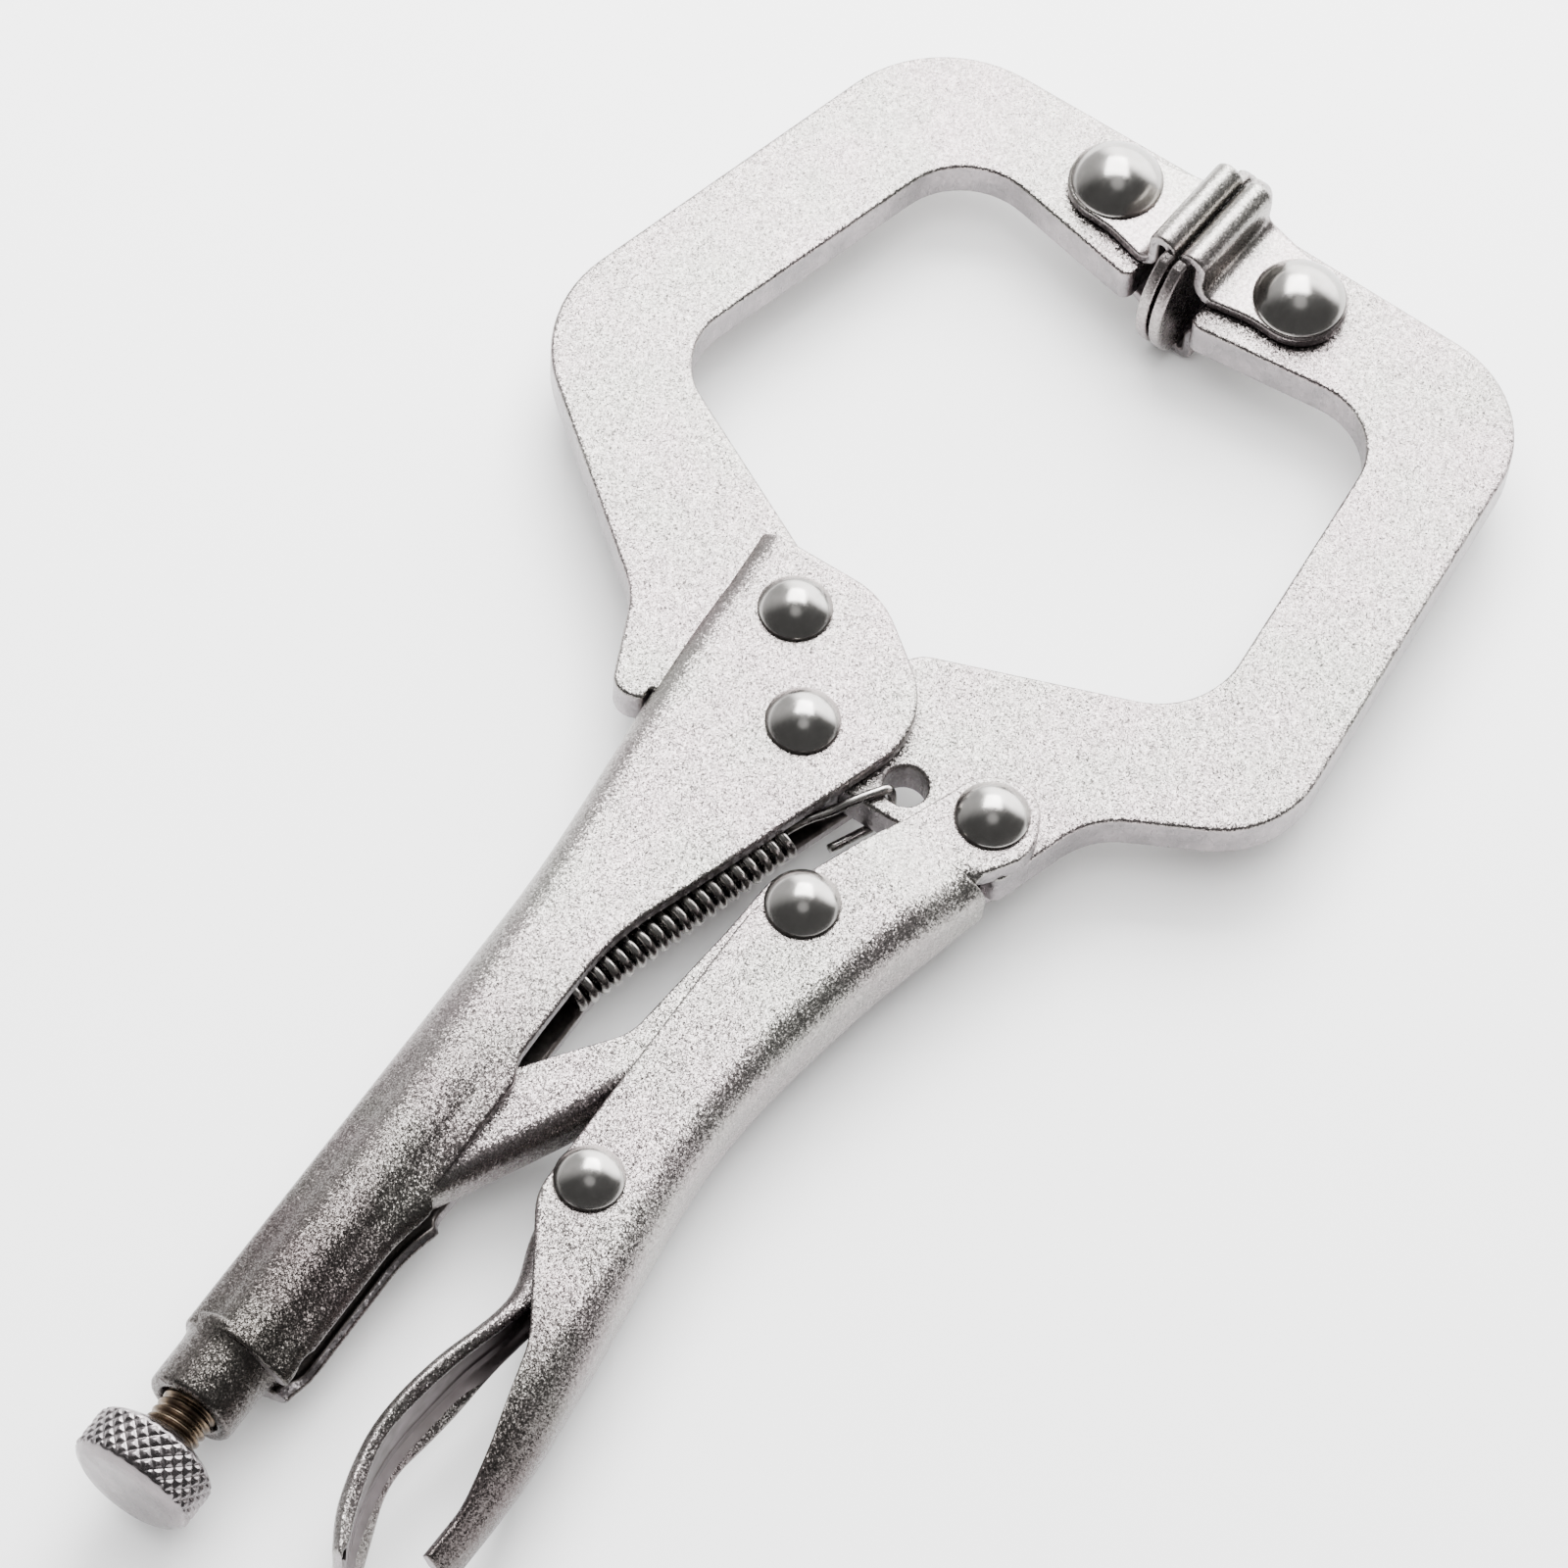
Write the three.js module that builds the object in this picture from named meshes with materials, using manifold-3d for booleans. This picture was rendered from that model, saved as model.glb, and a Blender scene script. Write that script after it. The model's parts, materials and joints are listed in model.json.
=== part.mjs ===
// Locking C clamp with swivel pads, closed and locked, lying on its side.
// Millimetres. +X runs along the handle towards the jaws, +Y towards the fixed jaw, +Z up.
// The tool is drawn about its own middle plane (z = 0) and lifted onto the floor at the end.
import * as THREE from 'three';
import { mergeVertices } from 'three/addons/utils/BufferGeometryUtils.js';
import Module from 'manifold-3d';

const wasm = await Module();
wasm.setup();

// ---- Driving dimensions -------------------------------------------------------------------

const plate = 4; // thickness of both jaws
const sheet = 1.5; // pressed steel of the body and the lever
const linkSheet = 1.3; // pressed steel of the toggle link and the release lever
const padSheet = 1.2; // folded steel of the swivel pads
const slip = 0.3; // clearance between neighbouring pieces
const far = 60; // longer than anything that a cutter passes through

const cheekInner = plate / 2 + slip; // half the gap that a jaw sits in
const cheekOuter = cheekInner + sheet; // half the width of the pinched fronts
const screwY = 8.2; // height of the adjusting screw's axis
const tubeRadius = 4.6; // rolled rear end of the body
const tubeEnd = -71; // rear end of the rolled tube, where the neck starts
const neckRadius = 4.05;
const neckEnd = -76.8;
const screwRadius = 2.5;
const knobRadius = 5.7;
const jawHead = 6.2; // the moving jaw's round end about its pivot
const leverHalf = 4.7; // half the width of the lever behind its pinched nose
const linkHalf = leverHalf - sheet - slip;
const rivetHead = 3.35; // radii of a rivet's head and shank
const rivetShank = 2.2;
const rivetHole = rivetShank + slip;
const releaseHead = 3.08; // the release lever's rivet is a little smaller
const padHead = 4; // radius of a pad rivet's head
const padRadius = 9; // of a pad's round working face

const jawPivot = new THREE.Vector2(5.3, 1.6);
const fixedRivet = new THREE.Vector2(14.5, 8.45);
const leverPivot = new THREE.Vector2(6.7, -17.1);
const linkPivot = new THREE.Vector2(-10.4, -8.6);
const releasePivot = new THREE.Vector2(-42.4, -8.3);
const fixedPadPivot = new THREE.Vector2(70.2, 9.6);
const movingPadPivot = new THREE.Vector2(68.6, -11);
const springHole = new THREE.Vector2(5.9, -8.8);

// The pads meet halfway between their rivets, square to the line that joins the rivets.
const padSpan = fixedPadPivot.distanceTo(movingPadPivot);
const padReach = (padSpan - slip) / 2; // from a pad's rivet to its working face
const padDown = movingPadPivot.clone().sub(fixedPadPivot).angle();

// ---- Small tools --------------------------------------------------------------------------

/** A manifold solid from a closed three.js geometry. */
function solid(geometry) {
  const bare = geometry.clone();
  bare.deleteAttribute('normal');
  bare.deleteAttribute('uv');
  const merged = mergeVertices(bare, 1e-4);
  const mesh = new wasm.Mesh({
    numProp: 3,
    vertProperties: new Float32Array(merged.attributes.position.array),
    triVerts: new Uint32Array(merged.index.array),
  });
  return new wasm.Manifold(mesh);
}

/** A three.js geometry from a manifold solid. */
function geometryOf(body) {
  const mesh = body.getMesh();
  const geometry = new THREE.BufferGeometry();
  geometry.setAttribute('position', new THREE.BufferAttribute(mesh.vertProperties, 3));
  geometry.setIndex(new THREE.BufferAttribute(mesh.triVerts, 1));
  return geometry;
}

/** 0 before start, 1 after end, and an even ease between them. */
function ease(value, start, end) {
  const t = THREE.MathUtils.clamp((value - start) / (end - start), 0, 1);
  return t * t * (3 - 2 * t);
}

/** A closed outline through corners [x, y, radius], each rounded by an arc of its radius. */
function outline(corners) {
  const shape = new THREE.Shape();
  corners.forEach(([x, y, radius], i) => {
    const corner = new THREE.Vector2(x, y);
    const before = new THREE.Vector2(...corners.at(i - 1)).sub(corner).normalize();
    const after = new THREE.Vector2(...corners[(i + 1) % corners.length]).sub(corner).normalize();
    const half = before.angleTo(after) / 2;
    const middle = before.clone().add(after).normalize();
    const centre = corner.clone().addScaledVector(middle, radius / Math.sin(half));
    const setback = radius / Math.tan(half);
    const first = corner.clone().addScaledVector(before, setback).sub(centre).angle();
    const last = corner.clone().addScaledVector(after, setback).sub(centre).angle();
    const clockwise = before.cross(after) > 0;
    shape.absarc(centre.x, centre.y, radius, first, last, clockwise);
  });
  shape.closePath();
  return shape;
}

/** A shape made solid from z = low to z = high. */
function slab(shape, low, high, curveSegments = 4) {
  const options = { depth: high - low, bevelEnabled: false, curveSegments };
  return solid(new THREE.ExtrudeGeometry(shape, options).translate(0, 0, low));
}

/** A round bar or hole along Z, centred on a point of the middle plane. */
function pin(centre, radius, low, high, segments = 16) {
  const bar = new THREE.CylinderGeometry(radius, radius, high - low, segments);
  bar.rotateX(Math.PI / 2).translate(centre.x, centre.y, (low + high) / 2);
  return solid(bar);
}

/** A box from one corner to the opposite one. */
function block(x0, x1, y0, y1, z0, z1) {
  const box = new THREE.BoxGeometry(x1 - x0, y1 - y0, z1 - z0);
  return solid(box.translate((x0 + x1) / 2, (y0 + y1) / 2, (z0 + z1) / 2));
}

/** A turned piece about the screw's axis, from its profile as [x, radius] pairs. */
function turned(profile, segments = 24) {
  const points = profile.map(([x, radius]) => new THREE.Vector2(radius, x));
  const lathe = new THREE.LatheGeometry(points, segments);
  return solid(lathe.rotateZ(-Math.PI / 2).translate(0, screwY, 0));
}

/** Stations along X: even steps between each [x, steps] and the next. */
function stations(stretches) {
  const places = [stretches[0][0]];
  for (let i = 1; i < stretches.length; i += 1) {
    const [from, steps] = stretches[i - 1];
    const to = stretches[i][0];
    for (let k = 1; k <= steps; k += 1) {
      places.push(from + ((to - from) * k) / steps);
    }
  }
  return places;
}

/**
 * A flat blank pressed into a channel along X. At each station x, section(x) gives: halfWidth; back,
 * the level of the outer back; bend, the outer radius between the back and a cheek; cheek, the
 * straight length of a cheek; lip and lipTurn, the length of the cheek's last stretch and the angle
 * that it curls in by. side is +1 when the back faces +Y and -1 when it faces -Y.
 */
function channel(places, lipSteps, thickness, side, section) {
  const bendSteps = 4;
  const half = 2 + bendSteps + lipSteps;
  const steps = places.length - 1;
  const blank = new THREE.BoxGeometry(1, 2, 1, steps, 2 * half, 1);
  const position = blank.attributes.position;
  for (let i = 0; i < position.count; i += 1) {
    const x = places[Math.round((position.getX(i) + 0.5) * steps)];
    const along = Math.abs(position.getY(i)) * half;
    const cheekSide = -Math.sign(position.getY(i)) * side;
    const inward = thickness * (0.5 - position.getZ(i));
    const { halfWidth, back, bend, cheek, lip, lipTurn } = section(x);
    const flat = halfWidth - bend;
    const turn = THREE.MathUtils.clamp((along - 1) / bendSteps, 0, 1) * Math.PI / 2;
    const down = THREE.MathUtils.clamp(along - 1 - bendSteps, 0, 1) * cheek;
    const curl = THREE.MathUtils.clamp((along - 2 - bendSteps) / lipSteps, 0, 1);
    const curlRadius = lip / Math.max(lipTurn, 1e-3);
    const angle = curl * Math.max(lipTurn, 1e-3);
    const heading = turn + angle;
    const width = Math.min(along, 1) * flat + bend * Math.sin(turn)
      - curlRadius * (1 - Math.cos(angle)) - inward * Math.sin(heading);
    const depth = bend * (1 - Math.cos(turn)) + down
      + curlRadius * Math.sin(angle) + inward * Math.cos(heading);
    position.setXYZ(i, x, back - side * depth, cheekSide * width);
  }
  return blank;
}

const finishes = {
  nickel: { color: 0xd8d5d2, roughness: 0.42, metalness: 0.95 },
  polished: { color: 0xcfcdc9, roughness: 0.12, metalness: 1 },
  bright: { color: 0xc9c5bf, roughness: 0.3, metalness: 0.95 },
  oiled: { color: 0x6d5f4c, roughness: 0.4, metalness: 0.85 },
  spring: { color: 0x3c3a38, roughness: 0.35, metalness: 0.9 },
};

/** A named mesh of one finish. */
function piece(name, body, finish) {
  const mesh = new THREE.Mesh(geometryOf(body), new THREE.MeshStandardMaterial(finishes[finish]));
  mesh.name = name;
  return mesh;
}

// ---- Body: one sheet rolled into a tube behind and pressed flat in front --------------------

const noseStart = 14; // the back climbs by backRise up to here, and by noseSlope beyond
const backRise = 2.7;
const noseSlope = 0.066;

/** Level of the body's back, which climbs from the tube to the nose. */
function bodyBack(x) {
  return screwY + tubeRadius + backRise * ease(x, -24, noseStart)
    + noseSlope * Math.max(0, x - noseStart);
}

/** A rolled tube behind x = -57, an open channel from x = -49, and pinched cheeks from x = -8. */
function bodySection(x) {
  const pinch = ease(x, -38, -8);
  const rolled = 1 - ease(x, -57, -49);
  return {
    halfWidth: THREE.MathUtils.lerp(tubeRadius, cheekOuter, pinch),
    back: bodyBack(x),
    bend: THREE.MathUtils.lerp(tubeRadius - 0.4, 2.8, pinch),
    cheek: 2.3 + 14 * ease(x, -49, -20),
    lip: 5.9,
    lipTurn: 1.42 * rolled,
  };
}

/** What is left of the channel when it is seen from the side. */
function bodySideOutline() {
  return outline([
    [-90, 30, 1],
    [-90, -3, 1],
    [-52.6, -3, 1],
    [-50.8, 2.2, 1.5],
    [-38.2, 2.2, 2],
    [-36, 3.2, 2],
    [-21.6, 3.2, 25],
    [11.6, -8.1, 8.5],
    [20.2, 2.9, 9],
    [20.2, 30, 1],
  ]);
}

/** The swaged neck that guides the adjusting screw, and the shoulder where it meets the tube. */
function neck() {
  const bore = screwRadius + slip;
  const chamfer = 0.4;
  const shoulder = tubeEnd + 1.6;
  return turned([
    [neckEnd, bore],
    [neckEnd, neckRadius - chamfer],
    [neckEnd + chamfer, neckRadius],
    [tubeEnd - 0.8, neckRadius],
    [tubeEnd + 0.8, tubeRadius - 0.1],
    [shoulder, tubeRadius - 0.2],
    [shoulder, tubeRadius - sheet + 0.05],
    [tubeEnd - 0.5, bore],
    [neckEnd, bore],
  ]);
}

/** A tongue lanced out of the back and bent into the channel: the spring's rear hook holds it. */
function springTongue() {
  const start = -30.4;
  const thickness = 1.2;
  const width = 2.2;
  const top = bodyBack(start) - slip;
  return block(start, start + thickness, 6.4, top, -width / 2, width / 2);
}

/** The seam along the tube's underside ends in a round drop by the neck. */
function seamDrop() {
  const radius = 1.7;
  const centre = new THREE.Vector2(tubeEnd + 2.4, 0);
  const through = pin(centre, radius, -far, far, 20).rotate([90, 0, 0]);
  const underside = block(-far * 2, 0, -far, screwY - 4, -far, far);
  return through.intersect(underside);
}

function bodyShell() {
  const slotStart = 1; // the back is open in front of here, where the fixed jaw sits
  const places = stations([[tubeEnd, 1], [-57, 4], [-49, 2], [-38, 8], [-8, 5], [14, 1], [20.6, 0]]);
  const rolled = solid(channel(places, 3, sheet, 1, bodySection));
  return rolled
    .intersect(slab(bodySideOutline(), -far, far))
    .add(neck())
    .add(springTongue())
    .subtract(block(slotStart, far, 8, far, -cheekInner, cheekInner))
    .subtract(seamDrop())
    .subtract(pin(jawPivot, rivetHole, -far, far))
    .subtract(pin(fixedRivet, rivetHole, -far, far));
}

// ---- Jaws: two flat C arms of one plate thickness --------------------------------------------

const padStack = 2 * padSheet + 0.6; // a folded edge: two sheets and the gap between them

/** What is cut off an arm's end, square to the line of the pad rivets. angle points off the end. */
function armEnd(pivot, angle) {
  const reach = padReach - padStack - slip;
  return block(reach, far, -far, far, -far, far)
    .rotate([0, 0, THREE.MathUtils.radToDeg(angle)])
    .translate([pivot.x, pivot.y, 0]);
}

/** The shallow seats, a tenth deep on each side, that the body's cheeks and a pad's ears cover. */
const seat = 0.1;

function seatCut(shape) {
  const above = slab(shape, plate / 2 - seat, far);
  const below = slab(shape, -far, seat - plate / 2);
  return above.add(below);
}

function fixedJaw() {
  const arm = outline([
    [61.4, -1, 0.5],
    [75.7, -1, 0.5],
    [76.3, 33.2, 13],
    [28.4, 46.3, 13],
    [8.8, 21.9, 8],
    [-0.9, 17.7, 2.1],
    [0.2, bodyBack(0) + slip, 0.6],
    [1.6, bodyBack(0) + slip, 0.1],
    [1.6, 6, 1],
    [9, -1, 1],
    [15.5, 1.5, 4],
    [32.1, 33.3, 7],
    [66.9, 23.5, 7.5],
  ]);
  const underCheeks = outline([
    [-20, bodyBack(0) + 1.5, 0.1],
    [20.8, bodyBack(20.2) + 0.6, 0.1],
    [20.8, -20, 0.1],
    [-20, -20, 0.1],
  ]);
  const underEars = new THREE.Shape();
  underEars.absarc(fixedPadPivot.x, fixedPadPivot.y, padRadius, 0, 2 * Math.PI);
  return slab(arm, -plate / 2, plate / 2)
    .subtract(armEnd(fixedPadPivot, padDown))
    .subtract(pin(jawPivot, jawHead + 0.4, -far, far, 48))
    .subtract(pin(fixedRivet, rivetHole, -far, far))
    .subtract(pin(fixedPadPivot, rivetHole, -far, far))
    .subtract(seatCut(underCheeks))
    .subtract(seatCut(underEars));
}

function movingJaw() {
  const arm = outline([
    [2.4, -3, 0.1],
    [2.4, -20.2, 1],
    [12.5, -23.6, 8],
    [20.2, -38.6, 10],
    [73.2, -35.2, 11.5],
    [75, 2, 0.5],
    [60.9, 2, 0.5],
    [63.1, -24.5, 7],
    [27.0, -26.6, 8.5],
    [17.4, -1.2, 3.2],
    [9, -2.6, 0.1],
  ]);
  return slab(arm, -plate / 2, plate / 2)
    .subtract(armEnd(movingPadPivot, padDown + Math.PI))
    .add(pin(jawPivot, jawHead, -plate / 2, plate / 2, 48))
    .subtract(pin(jawPivot, rivetHole, -far, far))
    .subtract(pin(leverPivot, rivetHole, -far, far))
    .subtract(pin(movingPadPivot, rivetHole, -far, far))
    .subtract(pin(springHole, 2, -far, far, 24));
}

// ---- Lever: a channel that opens towards the body, pinched round the moving jaw ---------------

const leverWeb = new THREE.SplineCurve([
  new THREE.Vector2(-78, -18.3),
  new THREE.Vector2(-67, -18.5),
  new THREE.Vector2(-56, -17.4),
  new THREE.Vector2(-33, -14.7),
  new THREE.Vector2(-14, -16.9),
  new THREE.Vector2(1.6, -20.9),
]);
const leverWebPoints = leverWeb.getPoints(60);

/** The height of a line of points at x, carried on straight past its ends. */
function heightAt(points, x) {
  const found = points.findIndex((point) => point.x > x);
  const next = found === -1 ? points.length - 1 : Math.max(found, 1);
  const before = points[next - 1];
  const after = points[next];
  return THREE.MathUtils.mapLinear(x, before.x, after.x, before.y, after.y);
}

const tailNarrowing = 0.5; // the lever and the link are narrower by this, each side, at their tails

function leverSection(x) {
  const full = ease(x, -78, -60);
  return {
    halfWidth: leverHalf - tailNarrowing * (1 - full),
    back: heightAt(leverWebPoints, Math.min(x, 1.5)),
    bend: 3.2,
    cheek: 4,
    lip: 8,
    lipTurn: 0,
  };
}

/** The joggle: in front of a slanted line the cheeks step in until they lie on the moving jaw. */
function joggle(geometry) {
  const position = geometry.attributes.position;
  const step = leverHalf - cheekOuter;
  for (let i = 0; i < position.count; i += 1) {
    const line = 1.3 + 0.42 * (position.getY(i) + 10.5);
    const inside = ease(position.getX(i), line - 1.2, line + 1.2);
    const z = position.getZ(i);
    position.setZ(i, z - Math.sign(z) * step * inside);
  }
  return geometry;
}

function lever() {
  const side = outline([
    [-79.5, -21, 1],
    [-79.5, -17.6, 1.4],
    [-71.2, -16.3, 8],
    [-57.5, -12.6, 10],
    [-45.8, -5.2, 6],
    [-12.5, -5.2, 14],
    [9.6, -13.9, 3.8],
    [12.4, -19.7, 3.6],
    [5.5, -22.6, 3.9],
    [0.6, -19, 0.6],
    [0.6, -24, 0.5],
    [-30, -24, 0.5],
  ]);
  const webEnd = 0.4; // in front of here only the two ears are left, with the jaw between them
  const places = stations([[-77.5, 16], [-5.5, 8], [4, 1], [13, 0]]);
  return solid(joggle(channel(places, 3, sheet, -1, leverSection)))
    .intersect(slab(side, -far, far))
    .subtract(block(webEnd, far, -far, far, -cheekInner, cheekInner))
    .subtract(pin(leverPivot, rivetHole, -far, far))
    .subtract(pin(linkPivot, rivetHole, -far, far))
    .subtract(pin(releasePivot, rivetHole, -far, far));
}

// ---- Toggle link: a channel from the lever back to the tip of the screw -----------------------

const linkWebPoints = [
  new THREE.Vector2(-51.2, 3),
  new THREE.Vector2(-38, -3.5),
  new THREE.Vector2(-24, -9),
  new THREE.Vector2(-6, -13.4),
];

/** The link narrows towards its tail, which runs inside the tube. */
function linkSection(x) {
  const full = ease(x, -51.2, -38);
  return {
    halfWidth: linkHalf - tailNarrowing * (1 - full),
    back: heightAt(linkWebPoints, x),
    bend: 1.9,
    cheek: 4,
    lip: 9,
    lipTurn: 0,
  };
}

function toggleLink() {
  const side = outline([
    [-51, 9.6, 2.6],
    [-51, 2.6, 1.6],
    [-38, -3.6, 0.5],
    [-24, -9.1, 6],
    [-13.4, -13.2, 2.4],
    [-6.4, -12.6, 3.6],
    [-6.4, -4.6, 3.6],
    [-15, -4.2, 8],
    [-28.2, -2.9, 5],
    [-45, 9.6, 3],
  ]);
  const places = stations([[-51.2, 1], [-38, 1], [-24, 1], [-6, 0]]);
  return solid(channel(places, 1, linkSheet, -1, linkSection))
    .intersect(slab(side, -far, far))
    .subtract(pin(linkPivot, rivetHole, -far, far));
}

// ---- Release lever: a thumb trough behind, two legs round its rivet in front -------------------

const releaseBack = new THREE.SplineCurve([
  new THREE.Vector2(-81.5, -9.6),
  new THREE.Vector2(-77, -7.2),
  new THREE.Vector2(-70, -5.7),
  new THREE.Vector2(-62, -6.4),
  new THREE.Vector2(-54, -8),
  new THREE.Vector2(-48, -6.3),
  new THREE.Vector2(-41, -5.3),
  new THREE.Vector2(-33, -7.2),
]);
const releaseBackPoints = releaseBack.getPoints(60);
const thumbSpread = 0.8; // the thumb end is wider by this, each side

function releaseSection(x) {
  return {
    halfWidth: linkHalf + thumbSpread * (1 - ease(x, -66, -58)),
    back: heightAt(releaseBackPoints, x),
    bend: 2.1,
    cheek: 0.6,
    lip: 6,
    lipTurn: 0,
  };
}

function releaseLever() {
  const side = outline([
    [-81.3, -11.9, 1.5],
    [-81.3, -4, 0.5],
    [-33.2, -4, 0.5],
    [-33.2, -9.6, 1.2],
    [-39.5, -12.4, 3.4],
    [-47.5, -11.9, 6],
    [-60, -9.6, 10],
    [-71, -8.0, 10],
  ]);
  const places = stations([[-81.4, 13], [-40, 2], [-33, 0]]);
  return solid(channel(places, 1, linkSheet, 1, releaseSection))
    .intersect(slab(side, -far, far))
    .subtract(pin(releasePivot, rivetHole, -far, far));
}

// ---- Adjusting screw and knob ------------------------------------------------------------------

const screwTip = -54; // 3 mm clear of the toggle link's tail, whose pivot is the open one
const knobFace = -85.6;
const knobFront = -79.9;

function adjustingScrew() {
  return turned([
    [knobFront + slip / 2, 0],
    [knobFront + slip / 2, screwRadius],
    [screwTip - 1, screwRadius],
    [screwTip, screwRadius - 0.8],
    [screwTip, 0],
  ]);
}

function adjustingKnob() {
  return turned([
    [knobFace, 0],
    [knobFace, knobRadius - 1.4],
    [knobFace + 0.5, knobRadius - 0.5],
    [knobFace + 1, knobRadius],
    [knobFront - 2, knobRadius],
    [knobFront - 1, knobRadius - 0.6],
    [knobFront - 0.4, knobRadius - 1.7],
    [knobFront, 3.3],
    [knobFront, 0],
  ], 28);
}

// ---- Rivets ------------------------------------------------------------------------------------

/** Corner points of a dome of the given radius and height that stands on level base. */
function dome(radius, height, base, steps) {
  const ball = (radius ** 2 + height ** 2) / (2 * height);
  const edge = Math.asin(radius / ball);
  const points = [];
  for (let i = 0; i <= steps; i += 1) {
    const angle = edge * (1 - i / steps);
    const level = base + ball * Math.cos(angle) - ball * Math.cos(edge);
    points.push(new THREE.Vector2(ball * Math.sin(angle), level));
  }
  return points;
}

/** A domed rivet through two cheeks, half the stack thick each way, with a flat peened tail. */
function rivet(centre, half, headRadius) {
  const rise = headRadius * 0.56;
  const rim = 0.2;
  const tailRadius = headRadius * 0.86;
  const tailEnd = -half - 1.1;
  const profile = [
    new THREE.Vector2(0, tailEnd),
    new THREE.Vector2(tailRadius - 0.6, tailEnd),
    new THREE.Vector2(tailRadius, -half),
    new THREE.Vector2(rivetShank, -half),
    new THREE.Vector2(rivetShank, half),
    new THREE.Vector2(headRadius, half),
    ...dome(headRadius, rise, half + rim, 4),
  ];
  const lathe = new THREE.LatheGeometry(profile, 16);
  return solid(lathe.rotateX(Math.PI / 2)).translate([centre.x, centre.y, 0]);
}

// ---- Swivel pads: a disc, folded back at both edges into straps and ears --------------------------

const foldHalf = 5.35; // half the length of a folded edge
const foldTop = 7.8; // from the middle plane to the outside of the fold
const earBottom = plate / 2 + 0.15;

/** Side view of one half of a pad: face, fold, strap and ear, with u towards the working face. */
function padStrapOutline() {
  const face = padReach;
  const strap = face - padStack;
  const foldRadius = padStack / 2;
  const shape = new THREE.Shape();
  shape.moveTo(face, 0);
  shape.lineTo(face, foldTop - foldRadius);
  shape.absarc(face - foldRadius, foldTop - foldRadius, foldRadius, 0, Math.PI, false);
  shape.lineTo(strap, earBottom + padSheet + 1);
  shape.absarc(strap - 1, earBottom + padSheet + 1, 1, 0, -Math.PI / 2, true);
  shape.lineTo(-6, earBottom + padSheet);
  shape.lineTo(-6, earBottom);
  shape.lineTo(strap - 0.6, earBottom);
  shape.absarc(strap - 0.6, earBottom + 1.8, 1.8, -Math.PI / 2, 0, false);
  shape.lineTo(strap + padSheet, foldTop - foldRadius);
  shape.absarc(face - foldRadius, foldTop - foldRadius, foldRadius - padSheet, Math.PI, 0, true);
  shape.lineTo(face - padSheet, 0);
  shape.closePath();
  return shape;
}

/** Plan of the straps and ears: as wide as the fold, waisted to the ear, round about the rivet. */
function padPlan() {
  return outline([
    [padReach + 1, foldHalf, 0.3],
    [padReach - padStack - 0.8, foldHalf, 1.5],
    [2.5, 4.5, 6],
    [-4.4, 4.5, 4.3],
    [-4.4, -4.5, 4.3],
    [2.5, -4.5, 6],
    [padReach - padStack - 0.8, -foldHalf, 1.5],
    [padReach + 1, -foldHalf, 0.3],
  ]);
}

/** A pad about its rivet, with its working face towards +X. */
function swivelPad() {
  const strapOptions = { depth: 2 * foldHalf, bevelEnabled: false, curveSegments: 5 };
  const strap = new THREE.ExtrudeGeometry(padStrapOutline(), strapOptions);
  strap.translate(0, 0, -foldHalf).rotateX(Math.PI / 2);
  const upper = solid(strap);
  const lower = upper.mirror([0, 0, 1]);
  const disc = new THREE.CylinderGeometry(padRadius, padRadius, padSheet, 40);
  disc.rotateZ(Math.PI / 2).translate(padReach - padSheet / 2, 0, 0);
  const discTop = foldTop - padStack / 2;
  const discTrim = block(-far, far, -far, far, -discTop, discTop);
  return upper
    .add(lower)
    .intersect(slab(padPlan(), -far, far))
    .add(solid(disc).intersect(discTrim))
    .subtract(pin(new THREE.Vector2(0, 0), rivetHole, -far, far));
}

function placedPad(pivot, angle) {
  return swivelPad()
    .rotate([0, 0, THREE.MathUtils.radToDeg(angle)])
    .translate([pivot.x, pivot.y, 0]);
}

// ---- Spring: the room that the coils take, with a hook at each end --------------------------------

const coilRadius = 1.9;
const wireRadius = 0.45;
const coilFront = new THREE.Vector2(-3.2, -2.4);
const coilRear = new THREE.Vector2(-27.2, 4.5);

/** A round bar in the middle plane between two points. */
function rod(from, to, radius, segments = 12) {
  const run = to.clone().sub(from);
  const bar = new THREE.CylinderGeometry(radius, radius, run.length(), segments);
  bar.rotateZ(run.angle() - Math.PI / 2);
  bar.translate((from.x + to.x) / 2, (from.y + to.y) / 2, 0);
  return solid(bar);
}

/** The coils, and the two hooks, which start half a millimetre inside them. */
function tensionSpring() {
  const along = coilFront.clone().sub(coilRear).normalize();
  const frontHook = new THREE.Vector2(1.6, -6.2);
  const frontStart = coilFront.clone().addScaledVector(along, -0.5);
  const rearHook = coilRear.clone().addScaledVector(along, -1.6);
  const rearStart = coilRear.clone().addScaledVector(along, 0.5);
  return rod(coilRear, coilFront, coilRadius, 20)
    .add(rod(frontStart, frontHook, wireRadius))
    .add(rod(rearHook, rearStart, wireRadius));
}

// ---- The assembly ------------------------------------------------------------------------------------

const rivetGap = 0.05; // under the head and tail of every rivet
const cheekStack = cheekOuter + rivetGap;
const leverStack = leverHalf + rivetGap;
const padStackHalf = earBottom + padSheet + rivetGap;

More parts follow.
